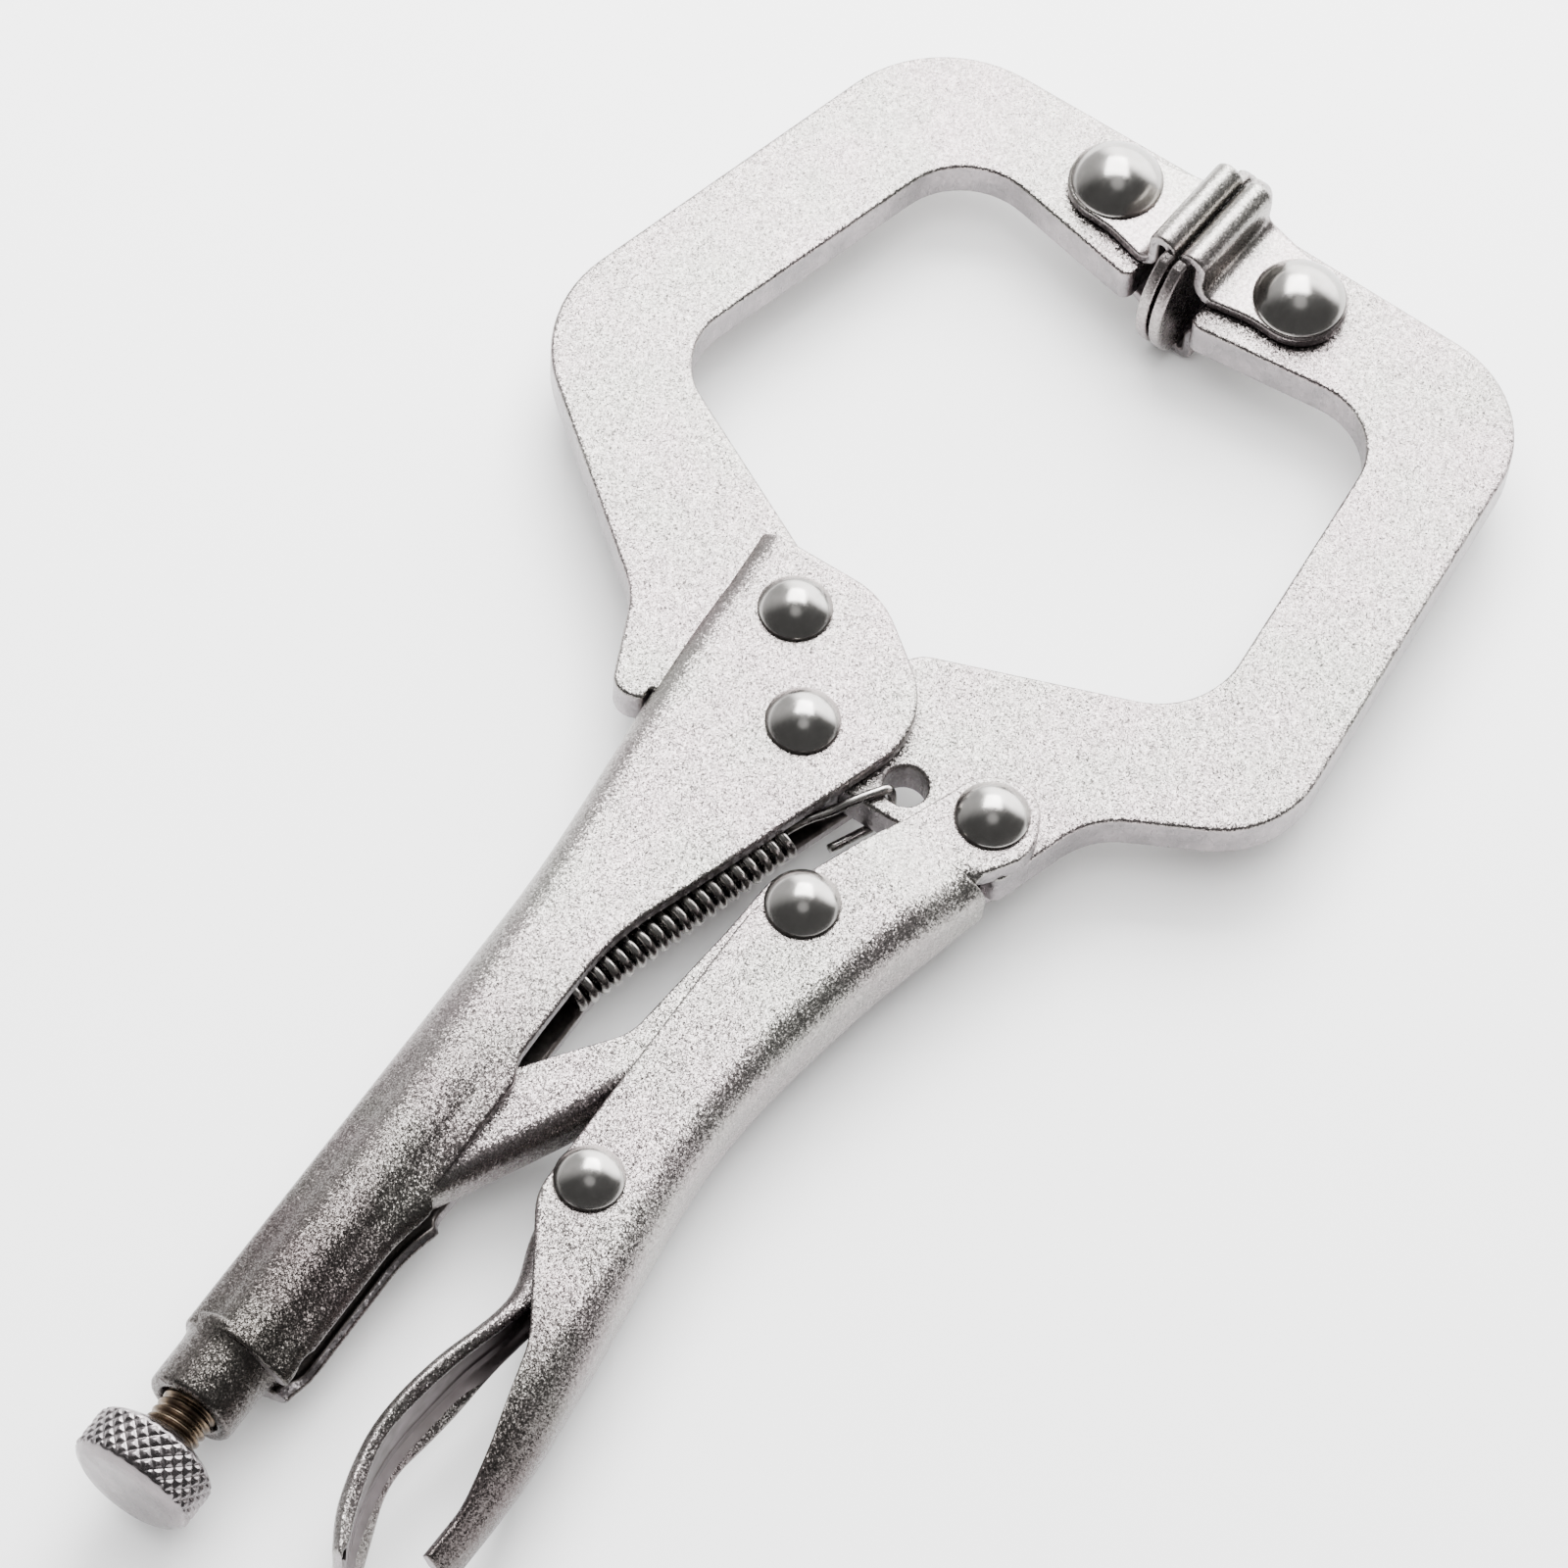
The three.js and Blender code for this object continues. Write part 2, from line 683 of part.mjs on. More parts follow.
const clamp = new THREE.Group();
clamp.add(
  piece('body_shell', bodyShell(), 'nickel'),
  piece('fixed_jaw', fixedJaw(), 'nickel'),
  piece('fixed_jaw_rivet', rivet(fixedRivet, cheekStack, rivetHead), 'polished'),
  piece('jaw_pivot_rivet', rivet(jawPivot, cheekStack, rivetHead), 'polished'),
  piece('moving_jaw', movingJaw(), 'nickel'),
  piece('lever', lever(), 'nickel'),
  piece('lever_pivot_rivet', rivet(leverPivot, cheekStack, rivetHead), 'polished'),
  piece('toggle_link', toggleLink(), 'nickel'),
  piece('link_pivot_rivet', rivet(linkPivot, leverStack, rivetHead), 'polished'),
  piece('release_lever', releaseLever(), 'bright'),
  piece('release_rivet', rivet(releasePivot, leverStack, releaseHead), 'polished'),
  piece('adjusting_screw', adjustingScrew(), 'oiled'),
  piece('adjusting_knob', adjustingKnob(), 'bright'),
  piece('tension_spring', tensionSpring(), 'spring'),
  piece('fixed_pad', placedPad(fixedPadPivot, padDown), 'nickel'),
  piece('fixed_pad_rivet', rivet(fixedPadPivot, padStackHalf, padHead), 'polished'),
  piece('moving_pad', placedPad(movingPadPivot, padDown + Math.PI), 'nickel'),
  piece('moving_pad_rivet', rivet(movingPadPivot, padStackHalf, padHead), 'polished'),
);

// The origin is the middle of the underside of the whole tool.
const bounds = new THREE.Box3().setFromObject(clamp);
const middle = bounds.getCenter(new THREE.Vector3());
clamp.position.set(-middle.x, -middle.y, -bounds.min.z);

export default clamp;
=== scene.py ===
"""Looks of a locking C clamp that lies closed on its side.

Every piece is drawn in the clamp's own drawing: millimetres on the middle plane, x along the screw,
y towards the fixed jaw, z up. row() turns a drawing point into metres in the frame.
"""
import json
import math

import bmesh
import bpy
from mathutils import Matrix, Vector
from mathutils.kdtree import KDTree


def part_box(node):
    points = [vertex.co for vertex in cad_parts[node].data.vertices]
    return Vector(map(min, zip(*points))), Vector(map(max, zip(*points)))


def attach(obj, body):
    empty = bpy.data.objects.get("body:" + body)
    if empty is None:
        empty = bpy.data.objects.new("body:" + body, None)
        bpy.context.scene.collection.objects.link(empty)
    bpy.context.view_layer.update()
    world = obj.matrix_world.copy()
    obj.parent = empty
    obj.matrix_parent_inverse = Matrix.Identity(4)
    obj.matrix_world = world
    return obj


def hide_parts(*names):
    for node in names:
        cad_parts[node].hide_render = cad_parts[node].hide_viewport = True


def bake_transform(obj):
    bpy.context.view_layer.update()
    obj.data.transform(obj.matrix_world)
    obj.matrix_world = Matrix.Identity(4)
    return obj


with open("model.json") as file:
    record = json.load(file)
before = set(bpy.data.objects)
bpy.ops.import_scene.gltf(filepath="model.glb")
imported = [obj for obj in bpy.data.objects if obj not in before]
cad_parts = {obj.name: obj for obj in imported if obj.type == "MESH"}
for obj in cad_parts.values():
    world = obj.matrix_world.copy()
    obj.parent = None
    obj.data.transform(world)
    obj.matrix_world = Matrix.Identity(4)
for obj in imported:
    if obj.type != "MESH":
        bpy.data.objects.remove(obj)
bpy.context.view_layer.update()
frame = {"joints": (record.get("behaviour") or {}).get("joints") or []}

# ---- Places, from the frame ----

MM = 0.001
PIVOTS = {joint["name"]: Vector(joint["pos_m"]) for joint in frame["joints"] if "pos_m" in joint}
JAW_PIVOT = Vector((5.3, 1.6))
ORIGIN = PIVOTS["jaw_pivot"] - Vector((*JAW_PIVOT, 0)) * MM


def row(x, y, z=0.0):
    """A drawing point in millimetres, as a point of the frame in metres."""
    return ORIGIN + Vector((x, y, z)) * MM


def drawn(point):
    """A point of the frame as a point of the drawing's middle plane."""
    return ((Vector(point) - ORIGIN) / MM).to_2d()


def node_centre(node):
    """The middle of a CAD node's box, as a drawing point."""
    low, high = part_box(node)
    return drawn((low + high) / 2)


LEVER_PIVOT = drawn(PIVOTS["lever_pivot"])
LINK_PIVOT = drawn(PIVOTS["link_pivot"])
RELEASE_PIVOT = drawn(PIVOTS["release_pivot"])
FIXED_PAD_PIVOT = drawn(PIVOTS["fixed_pad_swivel"])
MOVING_PAD_PIVOT = drawn(PIVOTS["moving_pad_swivel"])
FIXED_RIVET = node_centre("fixed_jaw_rivet")
SCREW_Y = drawn(PIVOTS["knob_turn"]).y
PLATE = (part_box("moving_jaw")[1].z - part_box("moving_jaw")[0].z) / MM
SHEET = 1.5  # thickness of the body and the hand lever
LINK_SHEET = 1.3  # of the toggle link and the release lever
PAD_SHEET = 1.2
SLIP = 0.3  # clearance between neighbouring pieces
CHEEK_INNER = PLATE / 2 + SLIP
CHEEK_OUTER = CHEEK_INNER + SHEET
TUBE_RADIUS = 4.6
LEVER_HALF = 4.7  # half the hand lever's width
LINK_HALF = LEVER_HALF - SHEET - SLIP
SPRING_HOLE = Vector((5.9, -8.8))
PAD_SPAN = (FIXED_PAD_PIVOT - MOVING_PAD_PIVOT).length
PAD_REACH = (PAD_SPAN - SLIP) / 2
PAD_DOWN = (MOVING_PAD_PIVOT - FIXED_PAD_PIVOT).normalized()
PAD_STACK = 2 * PAD_SHEET + 0.6  # a pad's face and strap with the gap between them

# ---- Small tools ----


def ease(value, start, end):
    """0 before start, 1 after end, and an even ease between them."""
    t = min(max((value - start) / (end - start), 0.0), 1.0)
    return t * t * (3 - 2 * t)


def mix(a, b, t):
    """The value a share t of the way from a to b."""
    return a + (b - a) * t


def outline(corners, arc_step=math.radians(6)):
    """Points of a closed outline through corners (x, y, radius), each rounded by its radius."""
    points = []
    for i, (x, y, radius) in enumerate(corners):
        corner = Vector((x, y))
        before = (Vector(corners[i - 1][:2]) - corner).normalized()
        after = (Vector(corners[(i + 1) % len(corners)][:2]) - corner).normalized()
        half = before.angle(after) / 2
        centre = corner + (before + after).normalized() * radius / math.sin(half)
        spoke = corner + before * radius / math.tan(half) - centre
        turn = math.copysign(math.pi - 2 * half, -before.cross(after))
        steps = max(2, math.ceil(abs(turn) / arc_step))
        for k in range(steps + 1):
            arm = spoke.copy()
            arm.rotate(Matrix.Rotation(turn * k / steps, 2))
            points.append(centre + arm)
    return points


def circle(centre, radius, steps=48):
    """Points of a circle, clockwise, as a hole runs."""
    return [
        centre + Vector((math.cos(a), -math.sin(a))) * radius
        for a in (2 * math.pi * k / steps for k in range(steps))
    ]


def crossings(points, x):
    """Heights at which a closed outline crosses the line of that x, from low to high."""
    found = []
    for a, b in zip(points, points[1:] + points[:1]):
        if (a.x <= x) != (b.x <= x):
            found.append(mix(a.y, b.y, (x - a.x) / (b.x - a.x)))
    return sorted(found)


def span_start(points):
    """The x just inside an outline's left end."""
    return min(point.x for point in points) + 0.01


def span_end(points):
    """The x just inside an outline's right end."""
    return max(point.x for point in points) - 0.01


def height_at(points, x):
    """Height of a line of points at x, carried on straight past its ends."""
    index = next((i for i, p in enumerate(points) if p.x > x), len(points) - 1)
    a, b = points[max(index, 1) - 1], points[max(index, 1)]
    return mix(a.y, b.y, (x - a.x) / (b.x - a.x))


def spline(points, steps=12):
    """A smooth line through points: uniform Catmull-Rom, with its ends repeated."""
    knots = [Vector(p) for p in (points[0], *points, points[-1])]
    line = []
    for p0, p1, p2, p3 in zip(knots, knots[1:], knots[2:], knots[3:]):
        for k in range(steps):
            t = k / steps
            line.append(0.5 * (
                2 * p1 + (p2 - p0) * t + (2 * p0 - 5 * p1 + 4 * p2 - p3) * t * t
                + (3 * p1 - p0 - 3 * p2 + p3) * t**3
            ))
    line.append(knots[-1])
    return line


EDGE_STEPS = (0.0, 0.03, 0.1, 0.22, 0.4)  # where a rounded edge needs its rows, from the edge in


def fractions(length, count, start_edge=True, end_edge=True):
    """Places from 0 to length, close together at the edges that are rounded."""
    first = list(EDGE_STEPS) if start_edge else [0.0]
    last = [length - e for e in reversed(EDGE_STEPS)] if end_edge else [length]
    low, high = first[-1], last[0]
    middle = [mix(low, high, k / count) for k in range(1, count)]
    return first + middle + last


def linked(name, mesh, materials, smooth=True):
    """An object with that mesh and those materials, in the scene."""
    for material in materials:
        mesh.materials.append(material)
    mesh.polygons.foreach_set("use_smooth", [smooth] * len(mesh.polygons))
    piece = bpy.data.objects.new(name, mesh)
    bpy.context.scene.collection.objects.link(piece)
    return piece


def mesh_piece(name, vertices, faces, materials, slots=None, smooth=True):
    """An object from frame points and faces, with its normals turned out."""
    mesh = bpy.data.meshes.new(name)
    mesh.from_pydata([tuple(v) for v in vertices], [], faces)
    piece = linked(name, mesh, materials, smooth)
    if slots:
        mesh.polygons.foreach_set("material_index", slots)
    work = bmesh.new()
    work.from_mesh(mesh)
    loose = [v for v in work.verts if not v.link_faces]
    bmesh.ops.delete(work, geom=loose, context="VERTS")
    bmesh.ops.recalc_face_normals(work, faces=work.faces)
    work.to_mesh(mesh)
    work.free()
    return piece


def finish_piece(piece, body, nodes):
    """Puts a piece on its body in place of its CAD nodes."""
    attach(piece, body)
    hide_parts(*nodes)


def thick(name, outer, inner, keep, radius, materials):
    """A sheet between two grids of points, with every free edge rounded by radius.

    outer and inner are rows of drawing points (x, y, z), keep(i, j) says whether the sheet has the
    cell from row i and column j, and materials are those of the outer face, inner face and edge.
    """
    rows, columns = len(outer), len(outer[0])
    cells = [
        ((i, j), (i + 1, j), (i + 1, j + 1), (i, j + 1))
        for i in range(rows - 1) for j in range(columns - 1) if keep(i, j)
    ]
    sides = {}
    for ring in cells:
        for a, b in zip(ring, ring[1:] + ring[:1]):
            if sides.pop((b, a), None) is None:
                sides[(a, b)] = True
    middle = {(i, j): (outer[i][j] + inner[i][j]) / 2 for i in range(rows) for j in range(columns)}
    samples = [mix(middle[a], middle[b], k / 8) for a, b in sides for k in range(8)]
    tree = KDTree(len(samples))
    for k, sample in enumerate(samples):
        tree.insert(sample, k)
    tree.balance()
    vertices = []
    number = {}
    for key in sorted({corner for ring in cells for corner in ring}):
        i, j = key
        half = (inner[i][j] - outer[i][j]) / 2
        inset = radius - min(tree.find(middle[key])[2], radius)
        share = 1 - (radius - math.sqrt(radius**2 - inset**2)) / max(half.length, radius)
        number[key] = len(vertices)
        vertices.append(row(*(middle[key] - half * share)))
        vertices.append(row(*(middle[key] + half * share)))
    faces, slots = [], []
    for cell in cells:
        ring = [number[corner] for corner in cell]
        faces += [ring, [n + 1 for n in reversed(ring)]]
        slots += [0, 1]
    for a, b in sides:
        faces.append([number[b], number[a], number[a] + 1, number[b] + 1])
        slots.append(2)
    return mesh_piece(name, vertices, faces, materials, slots)


def plate(name, contours, low, high, radius, materials):
    """A flat plate with rounded edges from its contours, outer first. materials: face and side."""
    rings = [(radius + 0.3, high)] + [
        (radius * (1 - math.sin(a)), high - radius * (1 - math.cos(a)))
        for a in (math.pi / 2 * k / 4 for k in range(5))
    ]
    rings.append((0, high - radius - 0.25))
    rings += [(inset, low + high - z) for inset, z in reversed(rings)]
    side = len(rings) // 2 - 1
    work = bmesh.new()
    caps = ([], [])
    for points in contours:
        count = len(points)
        normals = []
        for i, point in enumerate(points):
            back = (point - points[i - 1]).normalized()
            ahead = (points[(i + 1) % count] - point).normalized()
            along = (back + ahead).normalized()
            normal = Vector((-along.y, along.x))
            normals.append(normal / max(normal.dot(Vector((-back.y, back.x))), 0.5))
        loops = [
            [work.verts.new(row(*(p + n * inset), z)) for p, n in zip(points, normals)]
            for inset, z in rings
        ]
        for k, (a, b) in enumerate(zip(loops, loops[1:])):
            for i in range(count):
                face = work.faces.new((a[i], a[(i + 1) % count], b[(i + 1) % count], b[i]))
                face.material_index = 1 if abs(k - side) <= 1 else 0
        for loop, cap in ((loops[0], caps[0]), (loops[-1], caps[1])):
            for i in range(count):
                cap.append(work.edges.get((loop[i], loop[(i + 1) % count])))
    for cap in caps:
        bmesh.ops.triangle_fill(work, use_beauty=True, edges=cap)
    bmesh.ops.recalc_face_normals(work, faces=work.faces)
    mesh = bpy.data.meshes.new(name)
    work.to_mesh(mesh)
    work.free()
    return linked(name, mesh, materials)


def ring_faces(rings, count):
    """Faces of a bar whose vertices come ring by ring, count to a ring, with both ends closed."""
    faces = []
    for i in range(rings - 1):
        a, b = i * count, (i + 1) * count
        for k in range(count):
            n = (k + 1) % count
            faces.append([a + k, a + n, b + n, b + k])
    last = (rings - 1) * count
    return faces + [list(range(count)), list(reversed(range(last, last + count)))]


def lathe(name, profile, place, materials, segments=64):
    """A turned piece from (radius, height) pairs. place(radius, angle, height) gives its points."""
    vertices = [
        place(radius, 2 * math.pi * k / segments, height)
        for radius, height in profile for k in range(segments)
    ]
    return mesh_piece(name, vertices, ring_faces(len(profile), segments), materials)


def about_screw(radius, angle, x):
    """A point of a piece turned about the adjusting screw's axis."""
    return row(x, SCREW_Y + radius * math.cos(angle), radius * math.sin(angle))


# ---- Materials ----


class Finish:
    """A node material with a Principled shader, built a node at a time."""

    def __init__(self, name, color, metallic, roughness):
        self.material = bpy.data.materials.new(name)
        self.material.use_nodes = True
        self.nodes = self.material.node_tree.nodes
        self.links = self.material.node_tree.links
        self.shader = self.nodes["Principled BSDF"]
        self.shader.inputs["Base Color"].default_value = (*color, 1)
        self.shader.inputs["Metallic"].default_value = metallic
        self.shader.inputs["Roughness"].default_value = roughness
        self.place = self.nodes.new("ShaderNodeTexCoord").outputs["Object"]

    def add(self, kind, **settings):
        """A new node, with its settings."""
        node = self.nodes.new(kind)
        for key, value in settings.items():
            setattr(node, key, value)
        return node

    def noise(self, size_mm, detail=3.0, roughness=0.55, stretch=None):
        """Noise whose grains are about size_mm across, and longer along stretch's axes."""
        node = self.add("ShaderNodeTexNoise")
        node.inputs["Scale"].default_value = 1 / (size_mm * MM)
        node.inputs["Detail"].default_value = detail
        node.inputs["Roughness"].default_value = roughness
        place = self.place
        if stretch:
            mapping = self.add("ShaderNodeMapping")
            mapping.inputs["Scale"].default_value = stretch
            self.links.new(place, mapping.inputs["Vector"])
            place = mapping.outputs["Vector"]
        self.links.new(place, node.inputs["Vector"])
        return node.outputs["Fac"]

    def ramp(self, value, low, high, out_low, out_high):
        """value from low..high to out_low..out_high, held at the ends."""
        node = self.add("ShaderNodeMapRange")
        for key, number in (
            ("From Min", low), ("From Max", high), ("To Min", out_low), ("To Max", out_high)
        ):
            node.inputs[key].default_value = number
        self.links.new(value, node.inputs["Value"])
        return node.outputs["Result"]

    def along_x(self, start, end):
        """0 at one x of the drawing and 1 at another."""
        split = self.add("ShaderNodeSeparateXYZ")
        self.links.new(self.place, split.inputs["Vector"])
        return self.ramp(split.outputs["X"], row(start, 0).x, row(end, 0).x, 0.0, 1.0)

    def tint(self, factor, first, second):
        """A colour between first and second."""
        node = self.add("ShaderNodeMix", data_type="RGBA")
        node.inputs[6].default_value = (*first, 1)
        node.inputs[7].default_value = (*second, 1)
        self.links.new(factor, node.inputs[0])
        return node.outputs[2]

    def blend(self, share, first, second, mode="MULTIPLY"):
        """The first colour with a fixed share of the second mixed or multiplied in."""
        node = self.add("ShaderNodeMix", data_type="RGBA", blend_type=mode)
        node.inputs[0].default_value = share
        self.links.new(first, node.inputs[6])
        self.links.new(second, node.inputs[7])
        return node.outputs[2]

    def grains(self, size_mm):
        """A random colour for each grain about size_mm across."""
        node = self.add("ShaderNodeTexVoronoi")
        node.inputs["Scale"].default_value = 1 / (size_mm * MM)
        self.links.new(self.place, node.inputs["Vector"])
        return node.outputs["Color"]

    def facets(self, size_mm):
        """Random colours with most of them near grey: fine grains over coarser ones."""
        return self.blend(0.45, self.grains(size_mm), self.grains(size_mm * 1.6), "MIX")

    def vector(self, operation, first):
        """A node that works on a vector."""
        node = self.add("ShaderNodeVectorMath", operation=operation)
        self.links.new(first, node.inputs[0])
        return node

    def tilted(self, facet, amount):
        """The surface's normal, tilted by each grain's own colour."""
        centred = self.vector("SUBTRACT", facet)
        centred.inputs[1].default_value = (0.5, 0.5, 0.5)
        scaled = self.vector("SCALE", centred.outputs["Vector"])
        scaled.inputs["Scale"].default_value = amount
        added = self.vector("ADD", self.add("ShaderNodeNewGeometry").outputs["Normal"])
        self.links.new(scaled.outputs["Vector"], added.inputs[1])
        return self.vector("NORMALIZE", added.outputs["Vector"]).outputs["Vector"]

    def set(self, socket, value):
        """Feeds an input of the shader."""
        self.links.new(value, self.shader.inputs[socket])

    def toned(self, value, low, first, second):
        """Base colour from first to second, as value rises from low to 1 - low."""
        self.set("Base Color", self.tint(self.ramp(value, low, 1 - low, 0, 1), first, second))

    def rough(self, value, low, high, out_low, out_high):
        """Roughness from out_low to out_high, as value rises from low to high."""
        self.set("Roughness", self.ramp(value, low, high, out_low, out_high))

    def bumped(self, height, depth_mm, strength):
        """Relief of that depth, from a height of 0 to 1."""
        node = self.add("ShaderNodeBump")
        node.inputs["Strength"].default_value = strength
        node.inputs["Distance"].default_value = depth_mm * MM
        self.links.new(height, node.inputs["Height"])
        self.set("Normal", node.outputs["Normal"])


NICKEL_GRAIN = 0.09  # mm across a facet
# The colour that painted shade darkens towards, along the tube and the hand lever's tail.
PAINTED_SHADE_COLOR = (0.34, 0.325, 0.32)


def satin_nickel(name, tilt, painted_shade=None):
    """Blasted steel under thin nickel: a grain of tiny facets, each with a tilt of its own.

    Painted shade darkens the colour along x, from none at the first x of the pair given to its full
    depth at the second, standing in for a darker reflection there.
    """
    finish = Finish(name, (0.31, 0.3, 0.295), 1.0, 0.3)
    finish.set("Normal", finish.tilted(finish.facets(NICKEL_GRAIN), tilt))
    patches = finish.noise(9.0, 2.0, 0.5)
    tone = finish.ramp(patches, 0.35, 0.65, 0, 1)
    base = finish.tint(tone, (0.345, 0.308, 0.31), (0.318, 0.311, 0.294))
    mottle = finish.noise(0.32, 3.0, 0.7)
    speck = finish.tint(finish.ramp(mottle, 0.36, 0.64, 0, 1), (0.62, 0.6, 0.6), (1.0, 0.99, 0.98))
    color = finish.blend(1.0, base, speck)
    # Painted shade: the colour darkens along x towards the second x, for a darker reflection.
    if painted_shade:
        color = finish.blend(1.0, color, finish.tint(finish.along_x(*painted_shade), (1, 1, 1), PAINTED_SHADE_COLOR))
    finish.set("Base Color", color)
    finish.rough(mottle, 0.36, 0.64, 0.34, 0.24)
    return finish.material


def shaded_inside():
    """The inside of the body, painted dark with the shade that falls inside it, blotchy at random.
    """
    finish = Finish("shaded_inside", (0.2, 0.18, 0.17), 1.0, 0.4)
    stain = finish.noise(1.6, 3.0, 0.6)
    finish.toned(stain, 0.3, (0.22, 0.2, 0.19), (0.07, 0.06, 0.055))
    finish.rough(stain, 0.3, 0.7, 0.3, 0.5)
    finish.bumped(stain, 0.02, 0.5)
    return finish.material


def sheared_edge_shaded():
    """The cut edge of plate and sheet: finer than the faces, with faint lines across it, and
    painted darker than the faces as the shade on the sides.
    """
    finish = Finish("sheared_edge_shaded", (0.26, 0.24, 0.245), 1.0, 0.3)
    lines = finish.noise(0.5, 3.0, 0.6, (1.6, 1.6, 0.25))
    finish.toned(finish.noise(3.5, 2.0), 0.35, (0.29, 0.26, 0.268), (0.2, 0.185, 0.19))
    finish.rough(lines, 0.3, 0.7, 0.24, 0.4)
    finish.set("Normal", finish.tilted(finish.facets(0.16), 0.35))
    return finish.material


def smooth_plating_shaded():
    """Unblasted plated sheet: the insides of the handles and the release lever, painted dark with
    the shade that falls inside them.
    """
    finish = Finish("smooth_plating_shaded", (0.55, 0.52, 0.54), 1.0, 0.28)
    ripple = finish.noise(1.1, 2.0, 0.5)
    finish.toned(finish.noise(4.0, 3.0), 0.3, (0.2, 0.172, 0.18), (0.125, 0.112, 0.108))
    finish.rough(ripple, 0.3, 0.7, 0.4, 0.52)
    finish.bumped(ripple, 0.02, 0.12)
    return finish.material


def polished_head():
    """Polished plated rivet heads, with hairline scratches."""
    finish = Finish("polished_head", (0.82, 0.80, 0.78), 1.0, 0.07)
    scratch = finish.noise(0.5, 4.0, 0.7, (0.25, 2.0, 1.0))
    finish.toned(finish.noise(1.4, 2.0), 0.3, (0.38, 0.365, 0.35), (0.32, 0.31, 0.295))
    finish.rough(scratch, 0.35, 0.75, 0.17, 0.25)
    finish.bumped(scratch, 0.004, 0.4)
    return finish.material


def knob_steel():
    """Bright plated turned steel."""
    finish = Finish("knob_steel", (0.72, 0.69, 0.68), 1.0, 0.24)
    turning = finish.noise(0.5, 3.0, 0.6, (3.0, 0.4, 0.4))
    finish.toned(finish.noise(2.5, 2.0), 0.3, (0.25, 0.225, 0.23), (0.18, 0.165, 0.17))
    finish.rough(turning, 0.3, 0.7, 0.18, 0.34)
    finish.bumped(turning, 0.01, 0.5)
    return finish.material


def oiled_thread():
    """The oiled thread, bronze brown in its roots."""
    finish = Finish("oiled_thread", (0.42, 0.34, 0.25), 1.0, 0.3)
    stain = finish.noise(1.2, 3.0, 0.6)
    finish.toned(stain, 0.35, (0.16, 0.12, 0.08), (0.07, 0.05, 0.035))
    finish.rough(stain, 0.3, 0.7, 0.2, 0.42)
    finish.bumped(stain, 0.01, 0.5)
    return finish.material


def spring_wire():
    """Dark oiled spring wire."""
    finish = Finish("spring_wire", (0.2, 0.19, 0.18), 1.0, 0.25)
    oil = finish.noise(0.8, 2.0)
    finish.toned(oil, 0.3, (0.5, 0.48, 0.46), (0.28, 0.265, 0.25))
    finish.rough(oil, 0.3, 0.7, 0.16, 0.36)
    finish.bumped(oil, 0.006, 0.4)
    return finish.material


NICKEL = satin_nickel("satin_nickel", 0.72)
# The body and the hand lever are given painted shade towards their rear ends.
BODY_NICKEL = satin_nickel("body_nickel", 0.72, painted_shade=(-20, -62))
LEVER_NICKEL = satin_nickel("lever_nickel", 0.72, painted_shade=(-44, -66))
PAD_NICKEL = satin_nickel("pad_nickel", 0.3)
# Painted shade on the inside of the body.
INSIDE_SHADE = shaded_inside()
# The cut edges, painted darker than the faces as shade.
EDGE_SHADED = sheared_edge_shaded()
# The insides of the sheets, painted dark as shade.
SMOOTH_SHADED = smooth_plating_shaded()
POLISHED = polished_head()
KNOB = knob_steel()
THREAD = oiled_thread()
WIRE = spring_wire()

# ---- Pressed channels ----


def channel_point(section, s):
    """Half width, depth below the back and heading of a channel's skin, s along it from the middle.

    The skin runs flat, round a bend and down a cheek. Then its lip turns in by the angle turn.
    """
    half, bend, cheek = section["half"], section["bend"], section["cheek"]
    flat = half - bend
    if s <= flat:
        return s, 0.0, 0.0
    s -= flat
    quarter = bend * math.pi / 2
    if s <= quarter:
        angle = s / bend
        return flat + bend * math.sin(angle), bend * (1 - math.cos(angle)), angle
    s -= quarter
    if s <= cheek:
        return half, bend + s, math.pi / 2
    s -= cheek
    radius = section["lip"] / max(section["turn"], 0.001)
    angle = s / radius
    width = half - radius * (1 - math.cos(angle))
    return width, bend + cheek + radius * math.sin(angle), math.pi / 2 + angle


def channel_length(section):
    """Length of the skin from the middle of the back to the end of its lip."""
    return section["half"] + section["bend"] * (math.pi / 2 - 1) + section["cheek"] + section["lip"]


def last_inside(inside, low, high):
    """The last length at which inside holds, where it holds at low and not past some point."""
    if inside(high):
        return high
    for _ in range(24):
        middle = (low + high) / 2
        if inside(middle):
            low = middle
        else:
            high = middle
    return low


